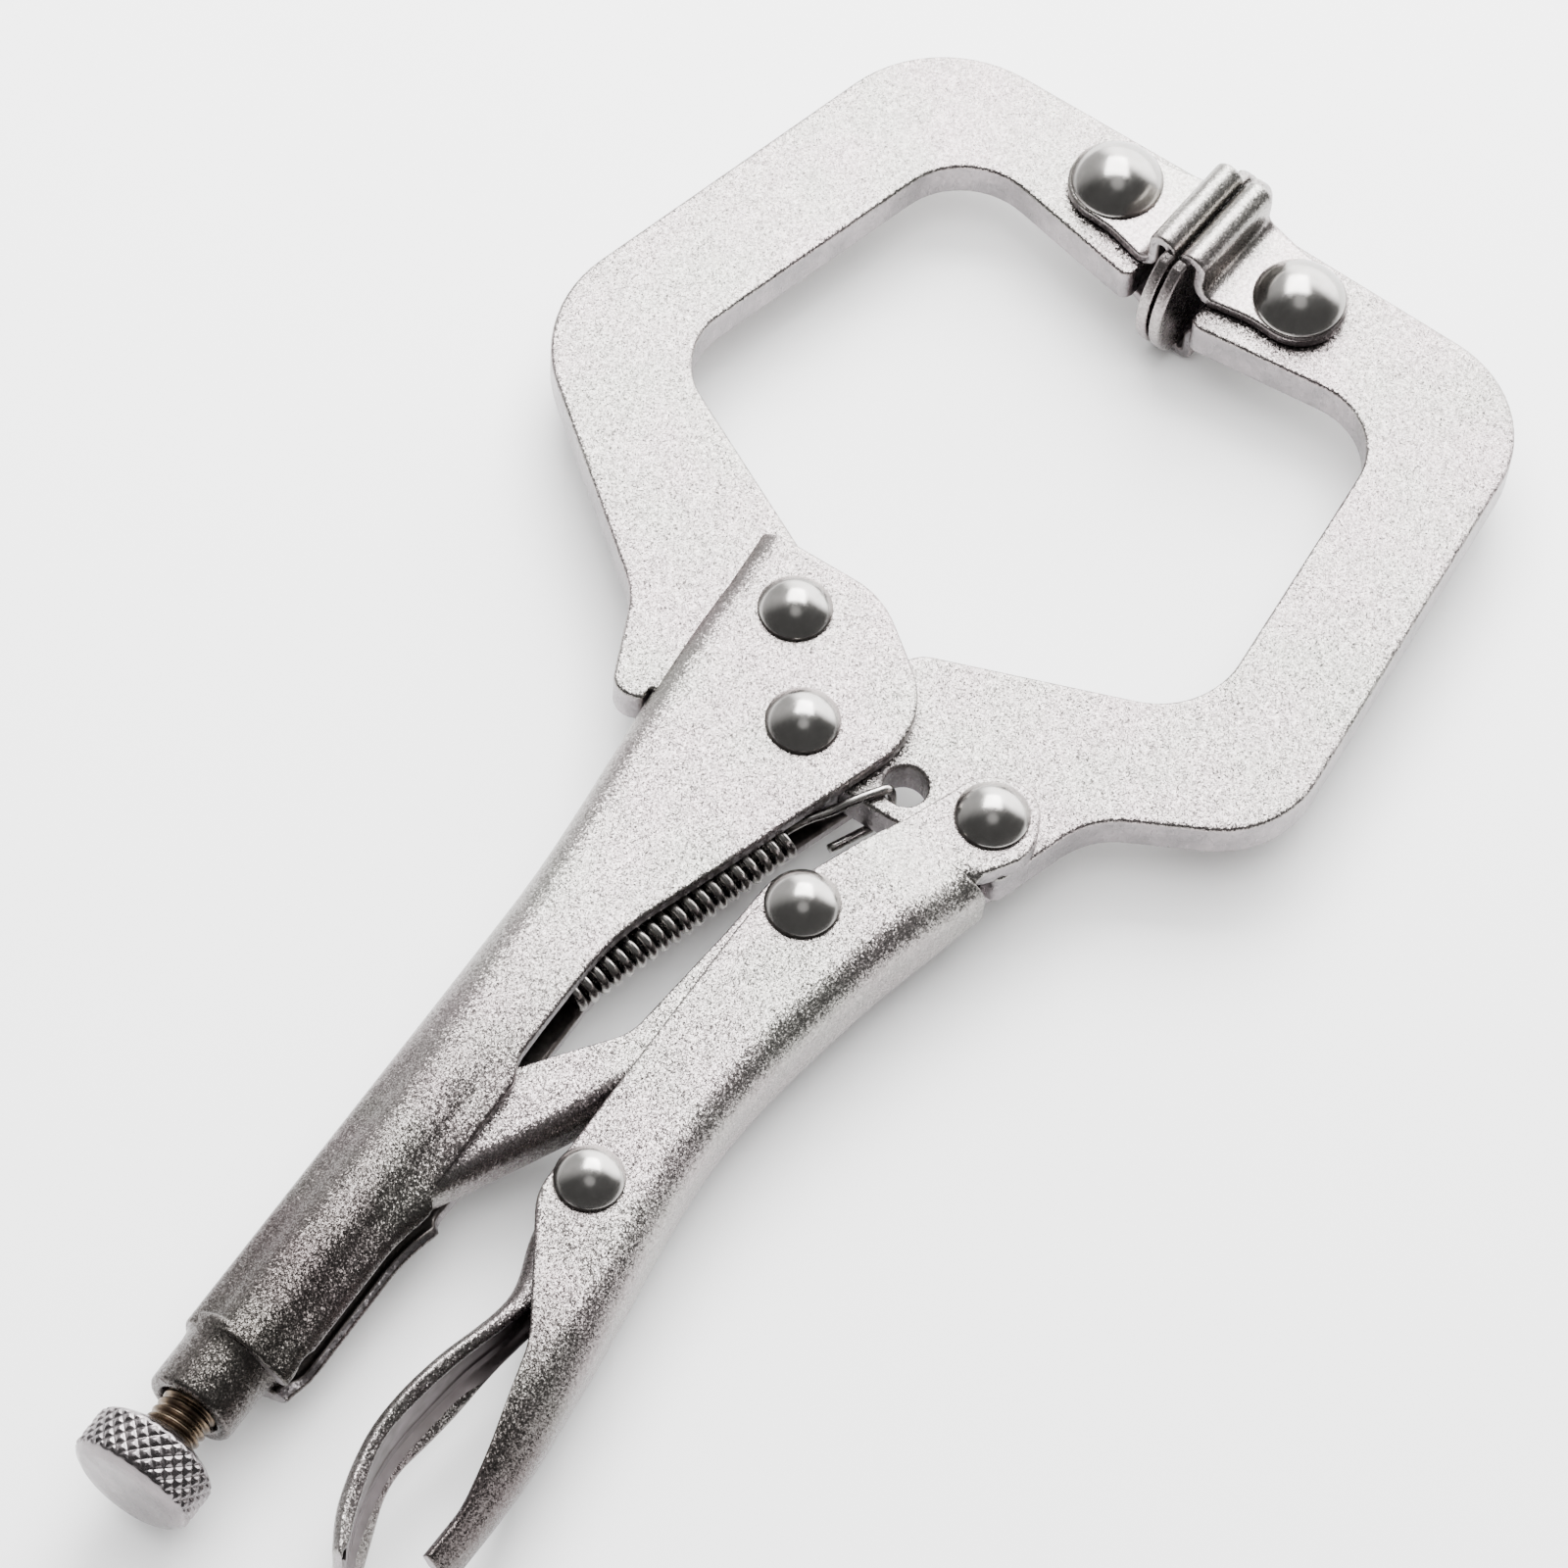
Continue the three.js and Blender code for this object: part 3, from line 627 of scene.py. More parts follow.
def channel(
    name, stations, side, thickness, section_at, start_at, end_at, has_web, shape, materials,
    counts=(8, 22), radius=0.3,
):
    """A pressed channel with rounded cut edges. Its cheeks run towards -y if side is 1, or +y.

    start_at and end_at give lengths along the half section: a cheek lies between them, and the
    web between the two starts, where has_web(x) is true. shape moves each finished point, such as
    for a joggle. counts are the cells of the web's half and of a cheek between their edges.
    """
    outer, inner = [], []
    for x in stations:
        section = section_at(x)
        start, end = start_at(x, section), end_at(x, section)
        web = fractions(start, counts[0], False, True)
        cheek = [start + s for s in fractions(end - start, counts[1])]
        places = [(-1, s) for s in reversed(cheek)] + [(-1, s) for s in reversed(web[1:-1])]
        places += [(1, s) for s in web[:-1]] + [(1, s) for s in cheek]
        outer_row, inner_row = [], []
        for hand, s in places:
            width, depth, heading = channel_point(section, s)
            skin = Vector((x, section["back"] - side * depth, hand * width))
            inward = Vector((0, -side * math.cos(heading), -hand * math.sin(heading)))
            outer_row.append(shape(skin, skin))
            inner_row.append(shape(skin + inward * thickness, skin))
        outer.append(outer_row)
        inner.append(inner_row)
    columns = len(outer[0])
    cheek_cells = counts[1] + 2 * len(EDGE_STEPS) - 2

    def keep(i, j):
        on_cheek = j < cheek_cells or j >= columns - 1 - cheek_cells
        return on_cheek or has_web(stations[i + 1])

    return thick(name, outer, inner, keep, radius, materials)


def even_stations(start, end, spacing, extra=()):
    """Stations from start to end, close together at both ends and at each extra cut."""
    cuts = sorted((start, *extra, end))
    places = []
    for k, (a, b) in enumerate(zip(cuts, cuts[1:])):
        count = max(2, round((b - a) / spacing))
        found = [a + s for s in fractions(b - a, count)]
        places += found if k == 0 else found[1:]
    return places


# ---- Body ----

BODY_SIDE = outline([
    (-90, 30, 1), (-90, -3, 1), (-52.6, -3, 1), (-50.8, 2.2, 1.5), (-38.2, 2.2, 2),
    (-36, 3.2, 2), (-21.6, 3.2, 25), (11.6, -8.1, 8.5), (20.2, 2.9, 9), (20.2, 30, 1),
])
JAW_SLOT_START = 1.0
TUBE_END = -71.0
TUBE_MIDDLE = SCREW_Y - 0.75


def body_back(x):
    """The back rises from the tube towards the jaws."""
    return SCREW_Y + TUBE_RADIUS + 2.7 * ease(x, -24, 14) + 0.066 * max(0.0, x - 14)


def body_section(x):
    """A tube with a seam at its far end, which opens out into two cheeks."""
    pinch = ease(x, -38, -8)
    return {
        "half": mix(TUBE_RADIUS, CHEEK_OUTER, pinch),
        "back": body_back(x),
        "bend": mix(TUBE_RADIUS - 0.4, 2.8, pinch),
        "cheek": 2.3 + 14 * ease(x, -49, -20),
        "lip": 5.9,
        "turn": 1.42 * (1 - ease(x, -57, -40)),
    }


def seam_gap(x):
    """Half the width of the seam along the tube: it opens into a drop by the neck."""
    return max(1.45, math.sqrt(max(1.9**2 - (x + 68.4) ** 2, 0.0)))


def body_end(x, section):
    """The cheeks end at the side view's outline and the tube at its seam."""
    lowest = crossings(BODY_SIDE, x)[0]
    gap = seam_gap(x)

    def inside(s):
        width, depth, heading = channel_point(section, s)
        return section["back"] - depth >= lowest and (heading < math.pi / 2 or width >= gap)

    return last_inside(inside, section["half"], channel_length(section))


def body_start(x, section):
    """Where the jaw's slot cuts the back, level with the insides of the cheeks."""
    flat = section["half"] - section["bend"]
    return flat + section["bend"] * math.asin(min((CHEEK_INNER - flat) / section["bend"], 1.0))


def body_shape(point, skin):
    """Rounds the tube, lets the far lip of its seam stand out, and clears the jaw's slot."""
    away = min(abs(skin.y - TUBE_MIDDLE) / 3, 1.0)
    clear_of_seam = ease(abs(skin.z), 2.0, 4.4)
    point.z -= math.copysign(0.75 * away**2 * clear_of_seam * (1 - ease(skin.x, -48, -30)), skin.z)
    if skin.z < 0 and skin.y < SCREW_Y:
        along = ease(-skin.x, 38, 50) * ease(skin.x, -70.8, -68)
        point.y -= 0.55 * ease(SCREW_Y - skin.y, 1, 4.2) * along
    if skin.x > JAW_SLOT_START - 0.01 and abs(point.z) < CHEEK_INNER:
        point.z = math.copysign(CHEEK_INNER, skin.z)
    return point


def build_body():
    stations = even_stations(TUBE_END, span_end(BODY_SIDE), 0.6, (JAW_SLOT_START,))
    shell = channel(
        "body_shell_pressed", stations, 1, SHEET, body_section, body_start, body_end,
        lambda x: x <= JAW_SLOT_START + 0.001, body_shape, (BODY_NICKEL, INSIDE_SHADE, EDGE_SHADED),
    )
    finish_piece(shell, "frame", ["body_shell"])


def build_neck():
    """The narrower end of the tube, rolled in round the screw."""
    bore, radius, end = 2.8, 4.05, -76.8
    profile = [
        (bore, TUBE_END), (bore, end + 0.3), (bore + 0.15, end + 0.05), (bore + 0.4, end),
        (radius - 0.55, end), (radius - 0.25, end + 0.08), (radius - 0.06, end + 0.3),
        (radius, end + 0.6), (radius, TUBE_END - 1.2), (radius + 0.05, TUBE_END - 0.6),
        (TUBE_RADIUS - 0.25, TUBE_END + 0.1), (TUBE_RADIUS - 0.08, TUBE_END + 0.6),
        (TUBE_RADIUS - 0.03, TUBE_END + 1.0), (TUBE_RADIUS - 0.3, TUBE_END + 1.4),
        (TUBE_RADIUS - 1.2, TUBE_END + 1.4),
    ]
    neck = lathe("body_neck", profile, about_screw, (BODY_NICKEL,), 72)
    finish_piece(neck, "frame", ["body_shell"])


# ---- Jaws ----

PIN_HOLE = 2.5  # radius of the holes for the pivots' rivets
PLATE_EDGE = 0.32

def arm_end(inner_line, outer_line, pivot, towards, radius):
    """The two corners of an arm's end, cut square to the line of the pad rivets."""
    through = pivot + towards * (PAD_REACH - PAD_STACK - SLIP)
    corners = []
    for start, end in (inner_line, outer_line):
        start, end = Vector(start), Vector(end)
        share = (through - start).dot(towards) / (end - start).dot(towards)
        point = start + (end - start) * share
        corners.append((point.x, point.y, radius))
    return corners


def build_fixed_jaw():
    inner, outer = arm_end(
        ((66.9, 23.5), (61.4, -1)), ((76.3, 33.2), (75.7, -1)), FIXED_PAD_PIVOT, PAD_DOWN, 1.1
    )
    arm = outline([
        inner, outer, (76.3, 33.2, 13), (28.4, 46.3, 13), (8.8, 21.9, 8), (-0.9, 17.7, 2.1),
        (0.2, body_back(0) + SLIP, 0.6), (1.6, body_back(0) + SLIP, 0.5), (1.6, 8.2, 1),
        (11.9, 8.2, 6.55), (11.9, 0.1, 0.8), (15.5, 1.5, 4), (32.1, 33.3, 7),
        (66.9, 23.5, 7.5),
    ])
    holes = [circle(FIXED_PAD_PIVOT, PIN_HOLE), circle(FIXED_RIVET, PIN_HOLE - 0.1)]
    jaw = plate(
        "fixed_jaw_plate", [arm, *holes], -PLATE / 2, PLATE / 2, PLATE_EDGE, (NICKEL, EDGE_SHADED)
    )
    finish_piece(jaw, "frame", ["fixed_jaw"])


def build_moving_jaw():
    inner, outer = arm_end(
        ((63.1, -24.5), (60.9, 2)), ((73.2, -35.2), (75, 2)), MOVING_PAD_PIVOT, -PAD_DOWN, 1.1
    )
    arm = outline([
        (2.4, -20.6, 1), (12.5, -23.9, 8), (20.2, -38.6, 10), (73.2, -35.2, 11.5), outer,
        inner, (63.1, -24.5, 7), (27.0, -26.6, 8.5), (17.4, -1.2, 3.2), (11.5, -2.2, 0.5),
        (11.5, 7.8, 6.1), (-0.9, 7.8, 6.1), (-0.9, -2.1, 5.6), (2.4, -3.9, 0.5),
    ])
    holes = [
        circle(SPRING_HOLE, 2), circle(LEVER_PIVOT, PIN_HOLE), circle(MOVING_PAD_PIVOT, PIN_HOLE)
    ]
    jaw = plate(
        "moving_jaw_plate", [arm, *holes], -PLATE / 2, PLATE / 2, PLATE_EDGE, (NICKEL, EDGE_SHADED)
    )
    finish_piece(jaw, "moving_arm", ["moving_jaw"])


# ---- Lever, link and release lever ----

LEVER_SIDE = outline([
    (-79.5, -21, 1), (-79.5, -17.6, 1.4), (-71.2, -16.3, 8), (-57.5, -12.6, 10),
    (-45.8, -5.2, 6), (-12.5, -5.2, 14), (9.6, -13.9, 3.8), (12.2, -19.2, 3.6),
    (5.5, -22.2, 3.9), (0.6, -19, 0.6), (0.6, -24, 0.5), (-30, -24, 0.5),
])
LEVER_WEB = spline([
    (-78, -18.3), (-67, -18.5), (-56, -17.4), (-33, -14.7), (-14, -16.9), (1.6, -20.9),
])
LEVER_EARS = 0.6  # where the web ends and the ears by the pivot begin


def lever_section(x):
    drop = 5.0 * ease(x, LEVER_EARS, LEVER_EARS + 2.2)
    return {
        "half": mix(LEVER_HALF - 1.1, LEVER_HALF, ease(x, -70, -46)),
        "back": height_at(LEVER_WEB, min(x, LEVER_EARS)) - drop,
        "bend": mix(3.55, 3.2, ease(x, -70, -50)),
        "cheek": 10.0,
        "lip": 14.0,
        "turn": 0.0,
    }


def reach(section, depth):
    """Length along the half section down to a depth below the back."""
    if depth >= section["bend"]:
        return channel_length({**section, "cheek": 0, "lip": 0}) + depth - section["bend"]
    angle = math.acos(1 - max(depth, 0.0) / section["bend"])
    return section["half"] - section["bend"] + section["bend"] * angle


def lever_start(x, section):
    """The web's edge, and in front of it the lower edge of the ears."""
    low = crossings(LEVER_SIDE, x)[0] if x > LEVER_EARS else -18.6
    return reach(section, max(low - section["back"], 1.2))


def lever_end(x, section):
    high = crossings(LEVER_SIDE, x)[-1]
    return max(reach(section, high - section["back"]), lever_start(x, section) + 0.9)


def lever_shape(point, skin):
    """The tail opens outwards. In front of a slanted line the cheeks step in to lie on the jaw."""
    depth = skin.y - height_at(LEVER_WEB, min(skin.x, LEVER_EARS))
    spread = 0.42 * max(depth - 1.0, 0.0) * (1 - ease(skin.x, -66, -48))
    point.z += math.copysign(spread, skin.z)
    line = 1.3 + 0.42 * (skin.y + 10.5)
    step = (LEVER_HALF - CHEEK_OUTER) * ease(skin.x, line - 4.5, line + 1.8)
    point.z -= step * skin.z / LEVER_HALF
    if skin.z < 0:
        point.y += 1.0 * ease(-17 - skin.y, 0, 4.5) * ease(skin.x, LEVER_EARS - 0.5, LEVER_EARS + 2)
    return point


def build_lever():
    stations = even_stations(-77.5, span_end(LEVER_SIDE), 0.6, (LEVER_EARS,))
    lever = channel(
        "lever_pressed", stations, -1, SHEET, lever_section, lever_start, lever_end,
        lambda x: x <= LEVER_EARS + 0.001, lever_shape, (LEVER_NICKEL, SMOOTH_SHADED, EDGE_SHADED),
    )
    finish_piece(lever, "hand_lever", ["lever"])


LINK_SIDE = outline([
    (-51, 9.6, 2.6), (-51, 2.6, 1.6), (-38, -3.6, 0.5), (-24, -9.1, 6), (-13.4, -13.2, 2.4),
    (-6.4, -12.6, 3.6), (-6.4, -4.6, 3.6), (-15, -4.2, 8), (-28.2, -2.9, 5), (-45, 9.6, 3),
])
LINK_WEB = [Vector(p) for p in ((-51.2, 3), (-38, -3.5), (-24, -9), (-6, -13.4))]


def link_section(x):
    return {
        "half": mix(LINK_HALF - 0.5, LINK_HALF, ease(x, -51.2, -38)),
        "back": height_at(LINK_WEB, x),
        "bend": 1.9,
        "cheek": 10.0,
        "lip": 10.0,
        "turn": 0.0,
    }


def link_start(x, section):
    return reach(section, 1.5)


def link_end(x, section):
    high = crossings(LINK_SIDE, x)[-1]
    return max(reach(section, high - section["back"]), link_start(x, section) + 0.9)


def build_link():
    stations = even_stations(span_start(LINK_SIDE), span_end(LINK_SIDE), 0.7)
    link = channel(
        "toggle_link_pressed", stations, -1, LINK_SHEET, link_section, link_start, link_end,
        lambda x: True, lambda point, skin: point, (NICKEL, SMOOTH_SHADED, EDGE_SHADED), (6, 14), 0.25,
    )
    finish_piece(link, "link", ["toggle_link"])


RELEASE_SIDE = outline([
    (-81.3, -11.9, 1.5), (-81.3, -4, 0.5), (-33.2, -4, 0.5), (-33.2, -9.6, 1.2),
    (-39.5, -12.4, 3.4), (-47.5, -11.9, 6), (-60, -9.6, 10), (-71, -8.0, 10),
])
RELEASE_WEB = spline([
    (-81.5, -9.6), (-77, -7.2), (-70, -5.7), (-62, -6.4),
    (-54, -8), (-48, -6.3), (-41, -5.3), (-33, -7.2),
])


def release_section(x):
    return {
        "half": LINK_HALF + 0.8 * (1 - ease(x, -66, -58)),
        "back": height_at(RELEASE_WEB, x),
        "bend": mix(1.5, 2.1, ease(x, -66, -50)),
        "cheek": 5.0,
        "lip": 5.0,
        "turn": 0.0,
    }


def release_start(x, section):
    return reach(section, 0.9)


def release_end(x, section):
    low = crossings(RELEASE_SIDE, x)[0]
    return max(reach(section, section["back"] - low), release_start(x, section) + 0.7)


def release_shape(point, skin):
    """Both flanges shrink towards the thumb end, where the near one leans in.

    The far one spreads where it stays clear of the hand lever's cheek, even when pressed.
    """
    thumb = 1 - ease(skin.x, -62, -47)
    clear = 1 - ease(skin.x, -63, -52.5)
    past_bend = max(height_at(RELEASE_WEB, skin.x) - skin.y - 0.7, 0.0)
    if skin.z > 0:
        point.y += 0.5 * past_bend * thumb
        point.z -= 0.4 * past_bend * thumb
    else:
        point.y += 0.12 * past_bend * thumb
        point.z -= 0.85 * past_bend * clear
    return point


def build_release():
    stations = even_stations(span_start(RELEASE_SIDE), span_end(RELEASE_SIDE), 0.7)
    release = channel(
        "release_lever_pressed", stations, 1, LINK_SHEET, release_section, release_start,
        release_end, lambda x: True, release_shape, (NICKEL, SMOOTH_SHADED, EDGE_SHADED), (6, 10),
    )
    finish_piece(release, "release", ["release_lever"])


# ---- Rivets ----


def dome(radius, rise, base, steps):
    """(radius, height) pairs of a dome from its rim to its top."""
    ball = (radius**2 + rise**2) / (2 * rise)
    edge = math.asin(radius / ball)
    pairs = []
    for k in range(steps):
        angle = edge * (1 - k / steps)
        pairs.append((ball * math.sin(angle), base + ball * (math.cos(angle) - math.cos(edge))))
    return pairs + [(0.02, base + rise)]


def build_rivet(name, centre, half, head, body):
    """A domed head above, a shank and a peened tail with a shallow dimple below."""
    tail, shank = head * 0.86, 2.2
    profile = [
        (0.02, -half - 0.85), (tail * 0.4, -half - 0.9), (tail * 0.62, -half - 1.08),
        (tail - 0.75, -half - 1.1), (tail - 0.3, -half - 0.92), (tail - 0.06, -half - 0.55),
        (tail, -half - 0.2), (tail - 0.05, -half), (shank, -half), (shank, half),
        (head - 0.12, half), (head, half + 0.08), *dome(head, head * 0.56, half + 0.2, 18),
    ]

    def place(radius, angle, height):
        return row(centre.x + radius * math.cos(angle), centre.y + radius * math.sin(angle), height)

    rivet = lathe(f"{name}_domed", profile, place, (POLISHED,))
    finish_piece(rivet, body, [name])


EAR_BOTTOM = PLATE / 2 + 0.15
RIVET_GAP = 0.05
HEAD, RELEASE_HEAD, PAD_HEAD = 3.35, 3.08, 4.3  # radii of the rivets' heads


def build_rivets():
    cheek, lever = CHEEK_OUTER + RIVET_GAP, LEVER_HALF + RIVET_GAP
    pad = EAR_BOTTOM + PAD_SHEET + RIVET_GAP
    for name, centre, half, head, body in (
        ("fixed_jaw_rivet", FIXED_RIVET, cheek, HEAD, "frame"),
        ("jaw_pivot_rivet", JAW_PIVOT, cheek, HEAD, "frame"),
        ("lever_pivot_rivet", LEVER_PIVOT, cheek, HEAD, "moving_arm"),
        ("link_pivot_rivet", LINK_PIVOT, lever, HEAD, "hand_lever"),
        ("release_rivet", RELEASE_PIVOT, lever, RELEASE_HEAD, "hand_lever"),
        ("fixed_pad_rivet", FIXED_PAD_PIVOT, pad, PAD_HEAD, "frame"),
        ("moving_pad_rivet", MOVING_PAD_PIVOT, pad, PAD_HEAD, "moving_arm"),
    ):
        build_rivet(name, centre, half, head, body)


# ---- Screw and knob ----

KNOB_FACE, KNOB_FRONT, KNOB_RADIUS = -85.6, -79.9, 5.7
SCREW_RADIUS, SCREW_PITCH, SCREW_TIP = 2.5, 0.8, -54.0
THREAD_DEPTH = 0.45


def build_screw():
    """The thread: a V groove that winds round the bar, run out at its tip."""
    segments, per_turn = 40, 8
    start = KNOB_FRONT + 0.1
    count = round((SCREW_TIP - start) / SCREW_PITCH * per_turn)
    vertices = []
    for i in range(count + 1):
        x = start + (SCREW_TIP - start) * i / count
        crest = SCREW_RADIUS - 0.8 * ease(x, SCREW_TIP - 1.2, SCREW_TIP)
        for k in range(segments):
            wave = (x / SCREW_PITCH - k / segments) % 1.0
            ridge = min(1.0, 2.6 * abs(wave - 0.5))
            radius = crest - THREAD_DEPTH * (1 - ridge)
            vertices.append(about_screw(radius, 2 * math.pi * k / segments, x))
    faces = ring_faces(count + 1, segments)
    screw = mesh_piece("adjusting_screw_thread", vertices, faces, (THREAD,))
    finish_piece(screw, "knob", ["adjusting_screw"])


def build_knob():
    """A knurled rim of raised diamonds between two chamfers, a flat face and a turned hub."""
    segments, teeth = 486, 27
    depth, rows = 0.22, 46
    rim_start, rim_end = KNOB_FACE + 0.55, KNOB_FRONT - 1.15
    face = [
        (0.02, KNOB_FACE), (3.4, KNOB_FACE), (4.35, KNOB_FACE + 0.02), (4.6, KNOB_FACE + 0.1),
        (KNOB_RADIUS - 0.5, rim_start - 0.12),
    ]
    knurl = [(None, rim_start + (rim_end - rim_start) * k / rows) for k in range(rows + 1)]
    back = [
        (KNOB_RADIUS - 0.75, rim_end + 0.3), (KNOB_RADIUS - 1.4, rim_end + 0.62),
        (3.6, KNOB_FRONT - 0.2), (3.2, KNOB_FRONT), (0.02, KNOB_FRONT),
    ]
    slant = 2 * math.pi * KNOB_RADIUS / teeth

    def place(radius, angle, x):
        """A point of the knob. The knurled rim's rows carry no radius of their own."""
        if radius is None:
            a = (angle * teeth / (2 * math.pi) + (x - rim_start) / slant) % 1.0
            b = (angle * teeth / (2 * math.pi) - (x - rim_start) / slant) % 1.0
            pyramid = min(1 - abs(2 * a - 1), 1 - abs(2 * b - 1))
            fade = min(1.0, (x - rim_start) / 0.35, (rim_end - x) / 0.35)
            radius = KNOB_RADIUS - depth - 0.1 * (1 - fade) + depth * min(1.0, 1.5 * pyramid) * fade
        return about_screw(radius, angle, x)

    knob = lathe("adjusting_knob_knurled", face + knurl + back, place, (KNOB,), segments)
    finish_piece(knob, "knob", ["adjusting_knob"])


# ---- Spring ----


def tube_along(name, points, radius, materials, sides=10):
    """A round wire along points (x, y, z) of the drawing, with no twist between its sections."""
    vertices = []
    normal = None
    for i, point in enumerate(points):
        along = (points[min(i + 1, len(points) - 1)] - points[max(i - 1, 0)]).normalized()
        if normal is None:
            normal = along.orthogonal()
        normal = (normal - along * normal.dot(along)).normalized()
        side = along.cross(normal)
        for k in range(sides):
            angle = 2 * math.pi * k / sides
            spoke = normal * math.cos(angle) + side * math.sin(angle)
            vertices.append(row(*(point + spoke * radius)))
    return mesh_piece(name, vertices, ring_faces(len(points), sides), materials)


def build_spring():
    """A close coil from the tongue in the back to the hook in the moving jaw's hole."""
    wire, coil_radius, coils = 0.44, 1.6, 19
    front, rear = Vector((-3.2, -2.4, 0)), Vector((-27.2, 4.5, 0))
    along = (front - rear).normalized()
    across = Vector((-along.y, along.x, 0))
    up = Vector((0, 0, 1))
    points = [rear - along * 3.0, rear - along * 1.5]
    steps = coils * 20
    for k in range(steps + 1):
        t = k / steps
        swell = coil_radius * min(1.0, 0.25 + 3 * coils * min(t, 1 - t))
        angle = 2 * math.pi * coils * t
        spoke = across * math.cos(angle) + up * math.sin(angle)
        points.append(rear + (front - rear) * t + spoke * swell)
    over = [(-1.6, -3.4, 1.45), (0.2, -4.8, 1.75), (1.8, -6.0, 2.42), (3.8, -7.3, 2.46)]
    into = [(4.6, -7.8, 2.2), (4.9, -8.1, 1.0), (4.9, -8.1, -1.2), (4.5, -8.0, -2.3)]
    under = [(3.6, -7.7, -2.5), (1.2, -6.6, -2.5), (-1.0, -5.6, -2.4)]
    hook = [points[-1], *(Vector(p) for p in over + into + under)]
    points += spline(hook, 6)[1:]
    spring = tube_along("tension_spring_coil", points, wire, (WIRE,))
    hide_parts("tension_spring")
    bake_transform(spring)


# ---- Pads ----


def pad_path():
    """Side view of half a pad as (reach, height, heading): face, fold, strap, then the ear."""
    face, top, strap = PAD_REACH, 7.8, PAD_REACH - PAD_STACK
    fold = PAD_STACK / 2
    path = [Vector((face - 0.03, top - fold - 0.8)), Vector((face - 0.03, top - fold - 0.3))]
    for k in range(17):
        angle = math.pi * k / 16
        fold_x, fold_y = fold * math.cos(angle), fold * math.sin(angle)
        path.append(Vector((face - fold + fold_x, top - fold + fold_y)))
    ear = EAR_BOTTOM + PAD_SHEET
    path.append(Vector((strap, ear + 1.0)))
    for k in range(1, 9):
        angle = math.pi / 2 * k / 8
        path.append(Vector((strap - 1.0 + math.cos(angle), ear + 1.0 - math.sin(angle))))
    path.append(Vector((-4.6, ear)))
    return path


def pad_plan():
    """A strap and its ear from above, as (reach, across): the strap narrows towards a round ear."""
    strap = PAD_REACH - PAD_STACK - 0.8
    one_side = [(PAD_REACH + 3, 5.35, 0.3), (strap, 5.35, 1.5), (2.5, 4.5, 6), (-4.4, 4.5, 4.3)]
    return outline(one_side + [(u, -v, radius) for u, v, radius in reversed(one_side)])


def point_along(path, lengths, s):
    """Point and heading at length s of a path whose points lie at those lengths."""
    i = next((i for i, length in enumerate(lengths) if length > s), len(lengths) - 1)
    t = (s - lengths[i - 1]) / (lengths[i] - lengths[i - 1])
    before = (path[i] - path[i - 1]).normalized()
    after = (path[min(i + 1, len(path) - 1)] - path[min(i, len(path) - 2)]).normalized()
    behind = (path[max(i - 1, 1)] - path[max(i - 2, 0)]).normalized()
    heading = mix(before, after, t / 2) if t > 0.5 else mix(behind, before, 0.5 + t)
    return mix(path[i - 1], path[i], t), heading.normalized()


def build_strap(name, placed, hand):
    """A pad's fold, strap and ear: the upper ones where hand is 1, the lower where it is -1."""
    plan, path, step = pad_plan(), pad_path(), 0.45
    lengths = [0.0]
    for a, b in zip(path, path[1:]):
        lengths.append(lengths[-1] + (b - a).length)
    end = lengths[-1] - 0.25
    places = [k * step for k in range(int((end - EDGE_STEPS[-1]) / step) + 1)]
    outer, inner = [], []
    for s in places + [end - e for e in reversed(EDGE_STEPS)]:
        point, heading = point_along(path, lengths, s)
        deep = point + Vector((-heading.y, heading.x)) * PAD_SHEET
        half = abs(crossings(plan, min(max(point.x, -4.38), PAD_REACH + 2))[0])
        across = [p - half for p in fractions(2 * half, 14)]
        outer.append([placed(point.x, v, hand * point.y) for v in across])
        inner.append([placed(deep.x, v, hand * deep.y) for v in across])
    return thick(name, outer, inner, lambda i, j: True, 0.28, (PAD_NICKEL, SMOOTH_SHADED, EDGE_SHADED))


PAD_ENDS = (("up", 1), ("down", -1))


def build_pad(name, body, pivot, towards):
    """A disc, folded back at both edges into straps and ears, about its rivet."""

    def placed(u, v, z):
        """A point u towards the working face, v across and z up, in the drawing."""
        flat = pivot + towards * u + Vector((-towards.y, towards.x)) * v
        return Vector((flat.x, flat.y, z))

    pieces = [build_strap(f"{name}_strap_{end}", placed, hand) for end, hand in PAD_ENDS]
    half = PAD_SHEET / 2
    disc = plate(f"{name}_disc", [disc_outline()], -half, half, 0.3, (PAD_NICKEL, PAD_NICKEL))
    turn = Matrix.Rotation(math.atan2(towards.y, towards.x), 4, "Z")
    out = Matrix.Translation(Vector((PAD_REACH - half, 0, 0)) * MM)
    stand = Matrix.Rotation(math.pi / 2, 4, "Y")
    move = Matrix.Translation(row(*pivot)) @ turn @ out
    disc.data.transform(move @ stand @ Matrix.Translation(-row(0, 0, 0)))
    for piece in pieces + [disc]:
        finish_piece(piece, body, [name])


def disc_outline():
    """The face's disc, cut straight above and below where the folds begin."""
    radius, cut = 9.0, 6.4
    edge = math.asin(cut / radius)
    points = []
    for start in (-edge, math.pi - edge):
        for k in range(33):
            angle = start + 2 * edge * k / 32
            points.append(Vector((-radius * math.sin(angle), radius * math.cos(angle))))
    return points


# ---- Floor, lights and camera ----


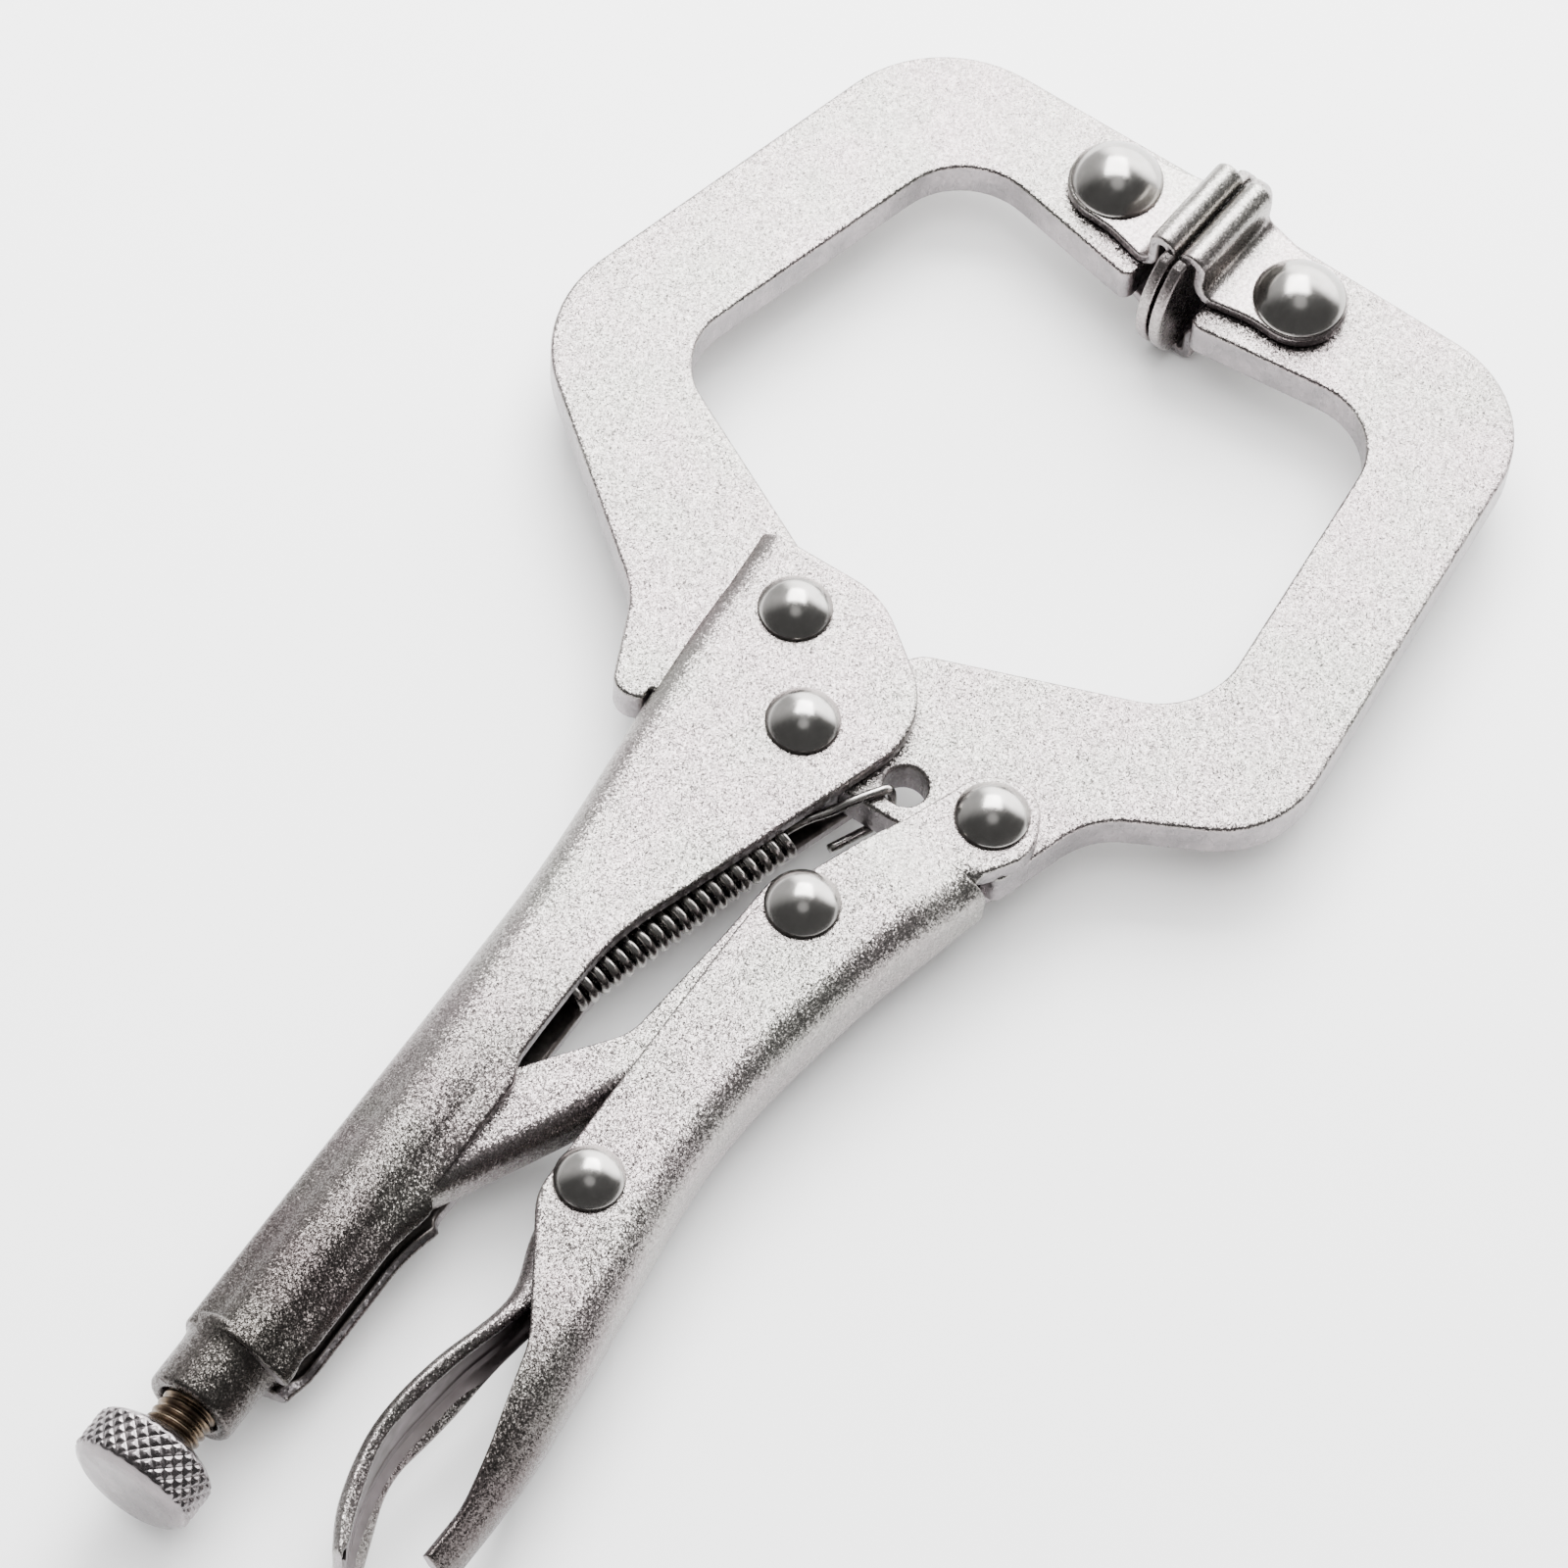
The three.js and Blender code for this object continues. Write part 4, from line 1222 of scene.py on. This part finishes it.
def build_stage():
    """A plain pale floor, half a millimetre below the lowest point."""
    paper = Finish("floor_paper", (0.88, 0.88, 0.88), 0.0, 0.7)
    paper.set("Base Color", paper.tint(paper.noise(40, 2.0), (0.87, 0.87, 0.87), (0.9, 0.9, 0.9)))
    size, level = 3.0, -0.0005
    corners = [(-size, -size), (size, -size), (size, size), (-size, size)]
    corners = [(x, y, level) for x, y in corners]
    mesh_piece("floor", corners, [[0, 1, 2, 3]], (paper.material,), smooth=False)


PANEL = Vector((289, 144, 320))  # a soft panel beyond the clamp, seen in its flat tops
PANEL_TURN = math.radians(29)
PANEL_SIZE = (0.4, 0.26)
PANEL_POWER = 6.2
FLOOR_POWER = 24  # of a wide light overhead, which the metal does not mirror
WINDOW = Vector((0.9, 0.05, 0.15))  # a bright low window beyond, seen in the domed rivets
WINDOW_GLOW = 8.0
FAR_WALL = Vector((0.75, 0.65, 0.1))  # the pale side of the room
FAR_GLOW = 1.0
SPOT = Vector((-0.12, -0.1, 0.98))  # a small round light overhead, seen in the domed rivets
SPOT_GLOW = 0.9
ROOM_GLOW = 0.16


def glow(tree, direction, full, dark, strength):
    """Brightness of a round soft light: full within one angle of its direction, gone at another."""
    place = tree.nodes.new("ShaderNodeTexCoord").outputs["Generated"]
    turn = tree.nodes.new("ShaderNodeVectorMath")
    turn.operation = "DOT_PRODUCT"
    turn.inputs[1].default_value = direction.normalized()
    tree.links.new(place, turn.inputs[0])
    ramp = tree.nodes.new("ShaderNodeMapRange")
    ramp.interpolation_type = "SMOOTHSTEP"
    ramp.inputs["From Min"].default_value = math.cos(math.radians(dark))
    ramp.inputs["From Max"].default_value = math.cos(math.radians(full))
    ramp.inputs["To Max"].default_value = strength
    tree.links.new(turn.outputs["Value"], ramp.inputs["Value"])
    return ramp.outputs["Result"]


def total(tree, first, second):
    """The sum of two brightnesses, the second a socket or a number."""
    node = tree.nodes.new("ShaderNodeMath")
    node.operation = "ADD"
    tree.links.new(first, node.inputs[0])
    if isinstance(second, float):
        node.inputs[1].default_value = second
    else:
        tree.links.new(second, node.inputs[1])
    return node.outputs["Value"]


def build_lights():
    world = bpy.data.worlds.new("studio")
    bpy.context.scene.world = world
    world.use_nodes = True
    tree = world.node_tree
    far = glow(tree, FAR_WALL, 45, 85, FAR_GLOW)
    window = glow(tree, WINDOW, 28, 50, WINDOW_GLOW)
    spot = glow(tree, SPOT, 7, 17, SPOT_GLOW)
    background = tree.nodes["Background"]
    background.inputs["Color"].default_value = (1, 1, 1, 1)
    together = total(tree, total(tree, far, window), total(tree, spot, ROOM_GLOW))
    tree.links.new(together, background.inputs["Strength"])
    add_light("panel", row(*PANEL), PANEL_SIZE, PANEL_POWER)
    add_light("floor_light", Vector((0, 0, 1)), (1, 1), FLOOR_POWER).visible_glossy = False


def add_light(name, place, size, power):
    """A rectangular light that faces down."""
    data = bpy.data.lights.new(name, "AREA")
    data.shape = "RECTANGLE"
    data.size, data.size_y = size
    data.energy = power
    light = bpy.data.objects.new(name, data)
    light.location = place
    light.rotation_euler.z = PANEL_TURN
    light.visible_camera = False
    bpy.context.scene.collection.objects.link(light)
    return light


VIEW_AZIMUTH = math.radians(-61)
VIEW_ELEVATION = math.radians(60)
VIEW_ROLL = math.radians(5)
VIEW_DISTANCE = 0.5682


def build_camera():
    data = bpy.data.cameras.new("camera")
    data.lens = 150
    data.sensor_width = 36
    data.clip_start = 0.01
    camera = bpy.data.objects.new("camera", data)
    sin, cos, flat = math.sin(VIEW_AZIMUTH), math.cos(VIEW_AZIMUTH), math.cos(VIEW_ELEVATION)
    back = Vector((sin * flat, -cos * flat, math.sin(VIEW_ELEVATION)))
    side = Vector((cos, sin, 0))
    over = back.cross(side)
    right = side * math.cos(VIEW_ROLL) + over * math.sin(VIEW_ROLL)
    up = over * math.cos(VIEW_ROLL) - side * math.sin(VIEW_ROLL)
    turn = Matrix((right, up, back)).transposed().to_4x4()
    camera.matrix_world = Matrix.Translation(row(0, 0, PLATE / 2) + back * VIEW_DISTANCE) @ turn
    bpy.context.scene.collection.objects.link(camera)
    bpy.context.scene.camera = camera


build_camera()
build_lights()
build_stage()
build_body()
build_neck()
build_fixed_jaw()
build_moving_jaw()
build_lever()
build_link()
build_release()
build_rivets()
build_screw()
build_knob()
build_spring()
build_pad("fixed_pad", "frame_pad", FIXED_PAD_PIVOT, PAD_DOWN)
build_pad("moving_pad", "arm_pad", MOVING_PAD_PIVOT, -PAD_DOWN)
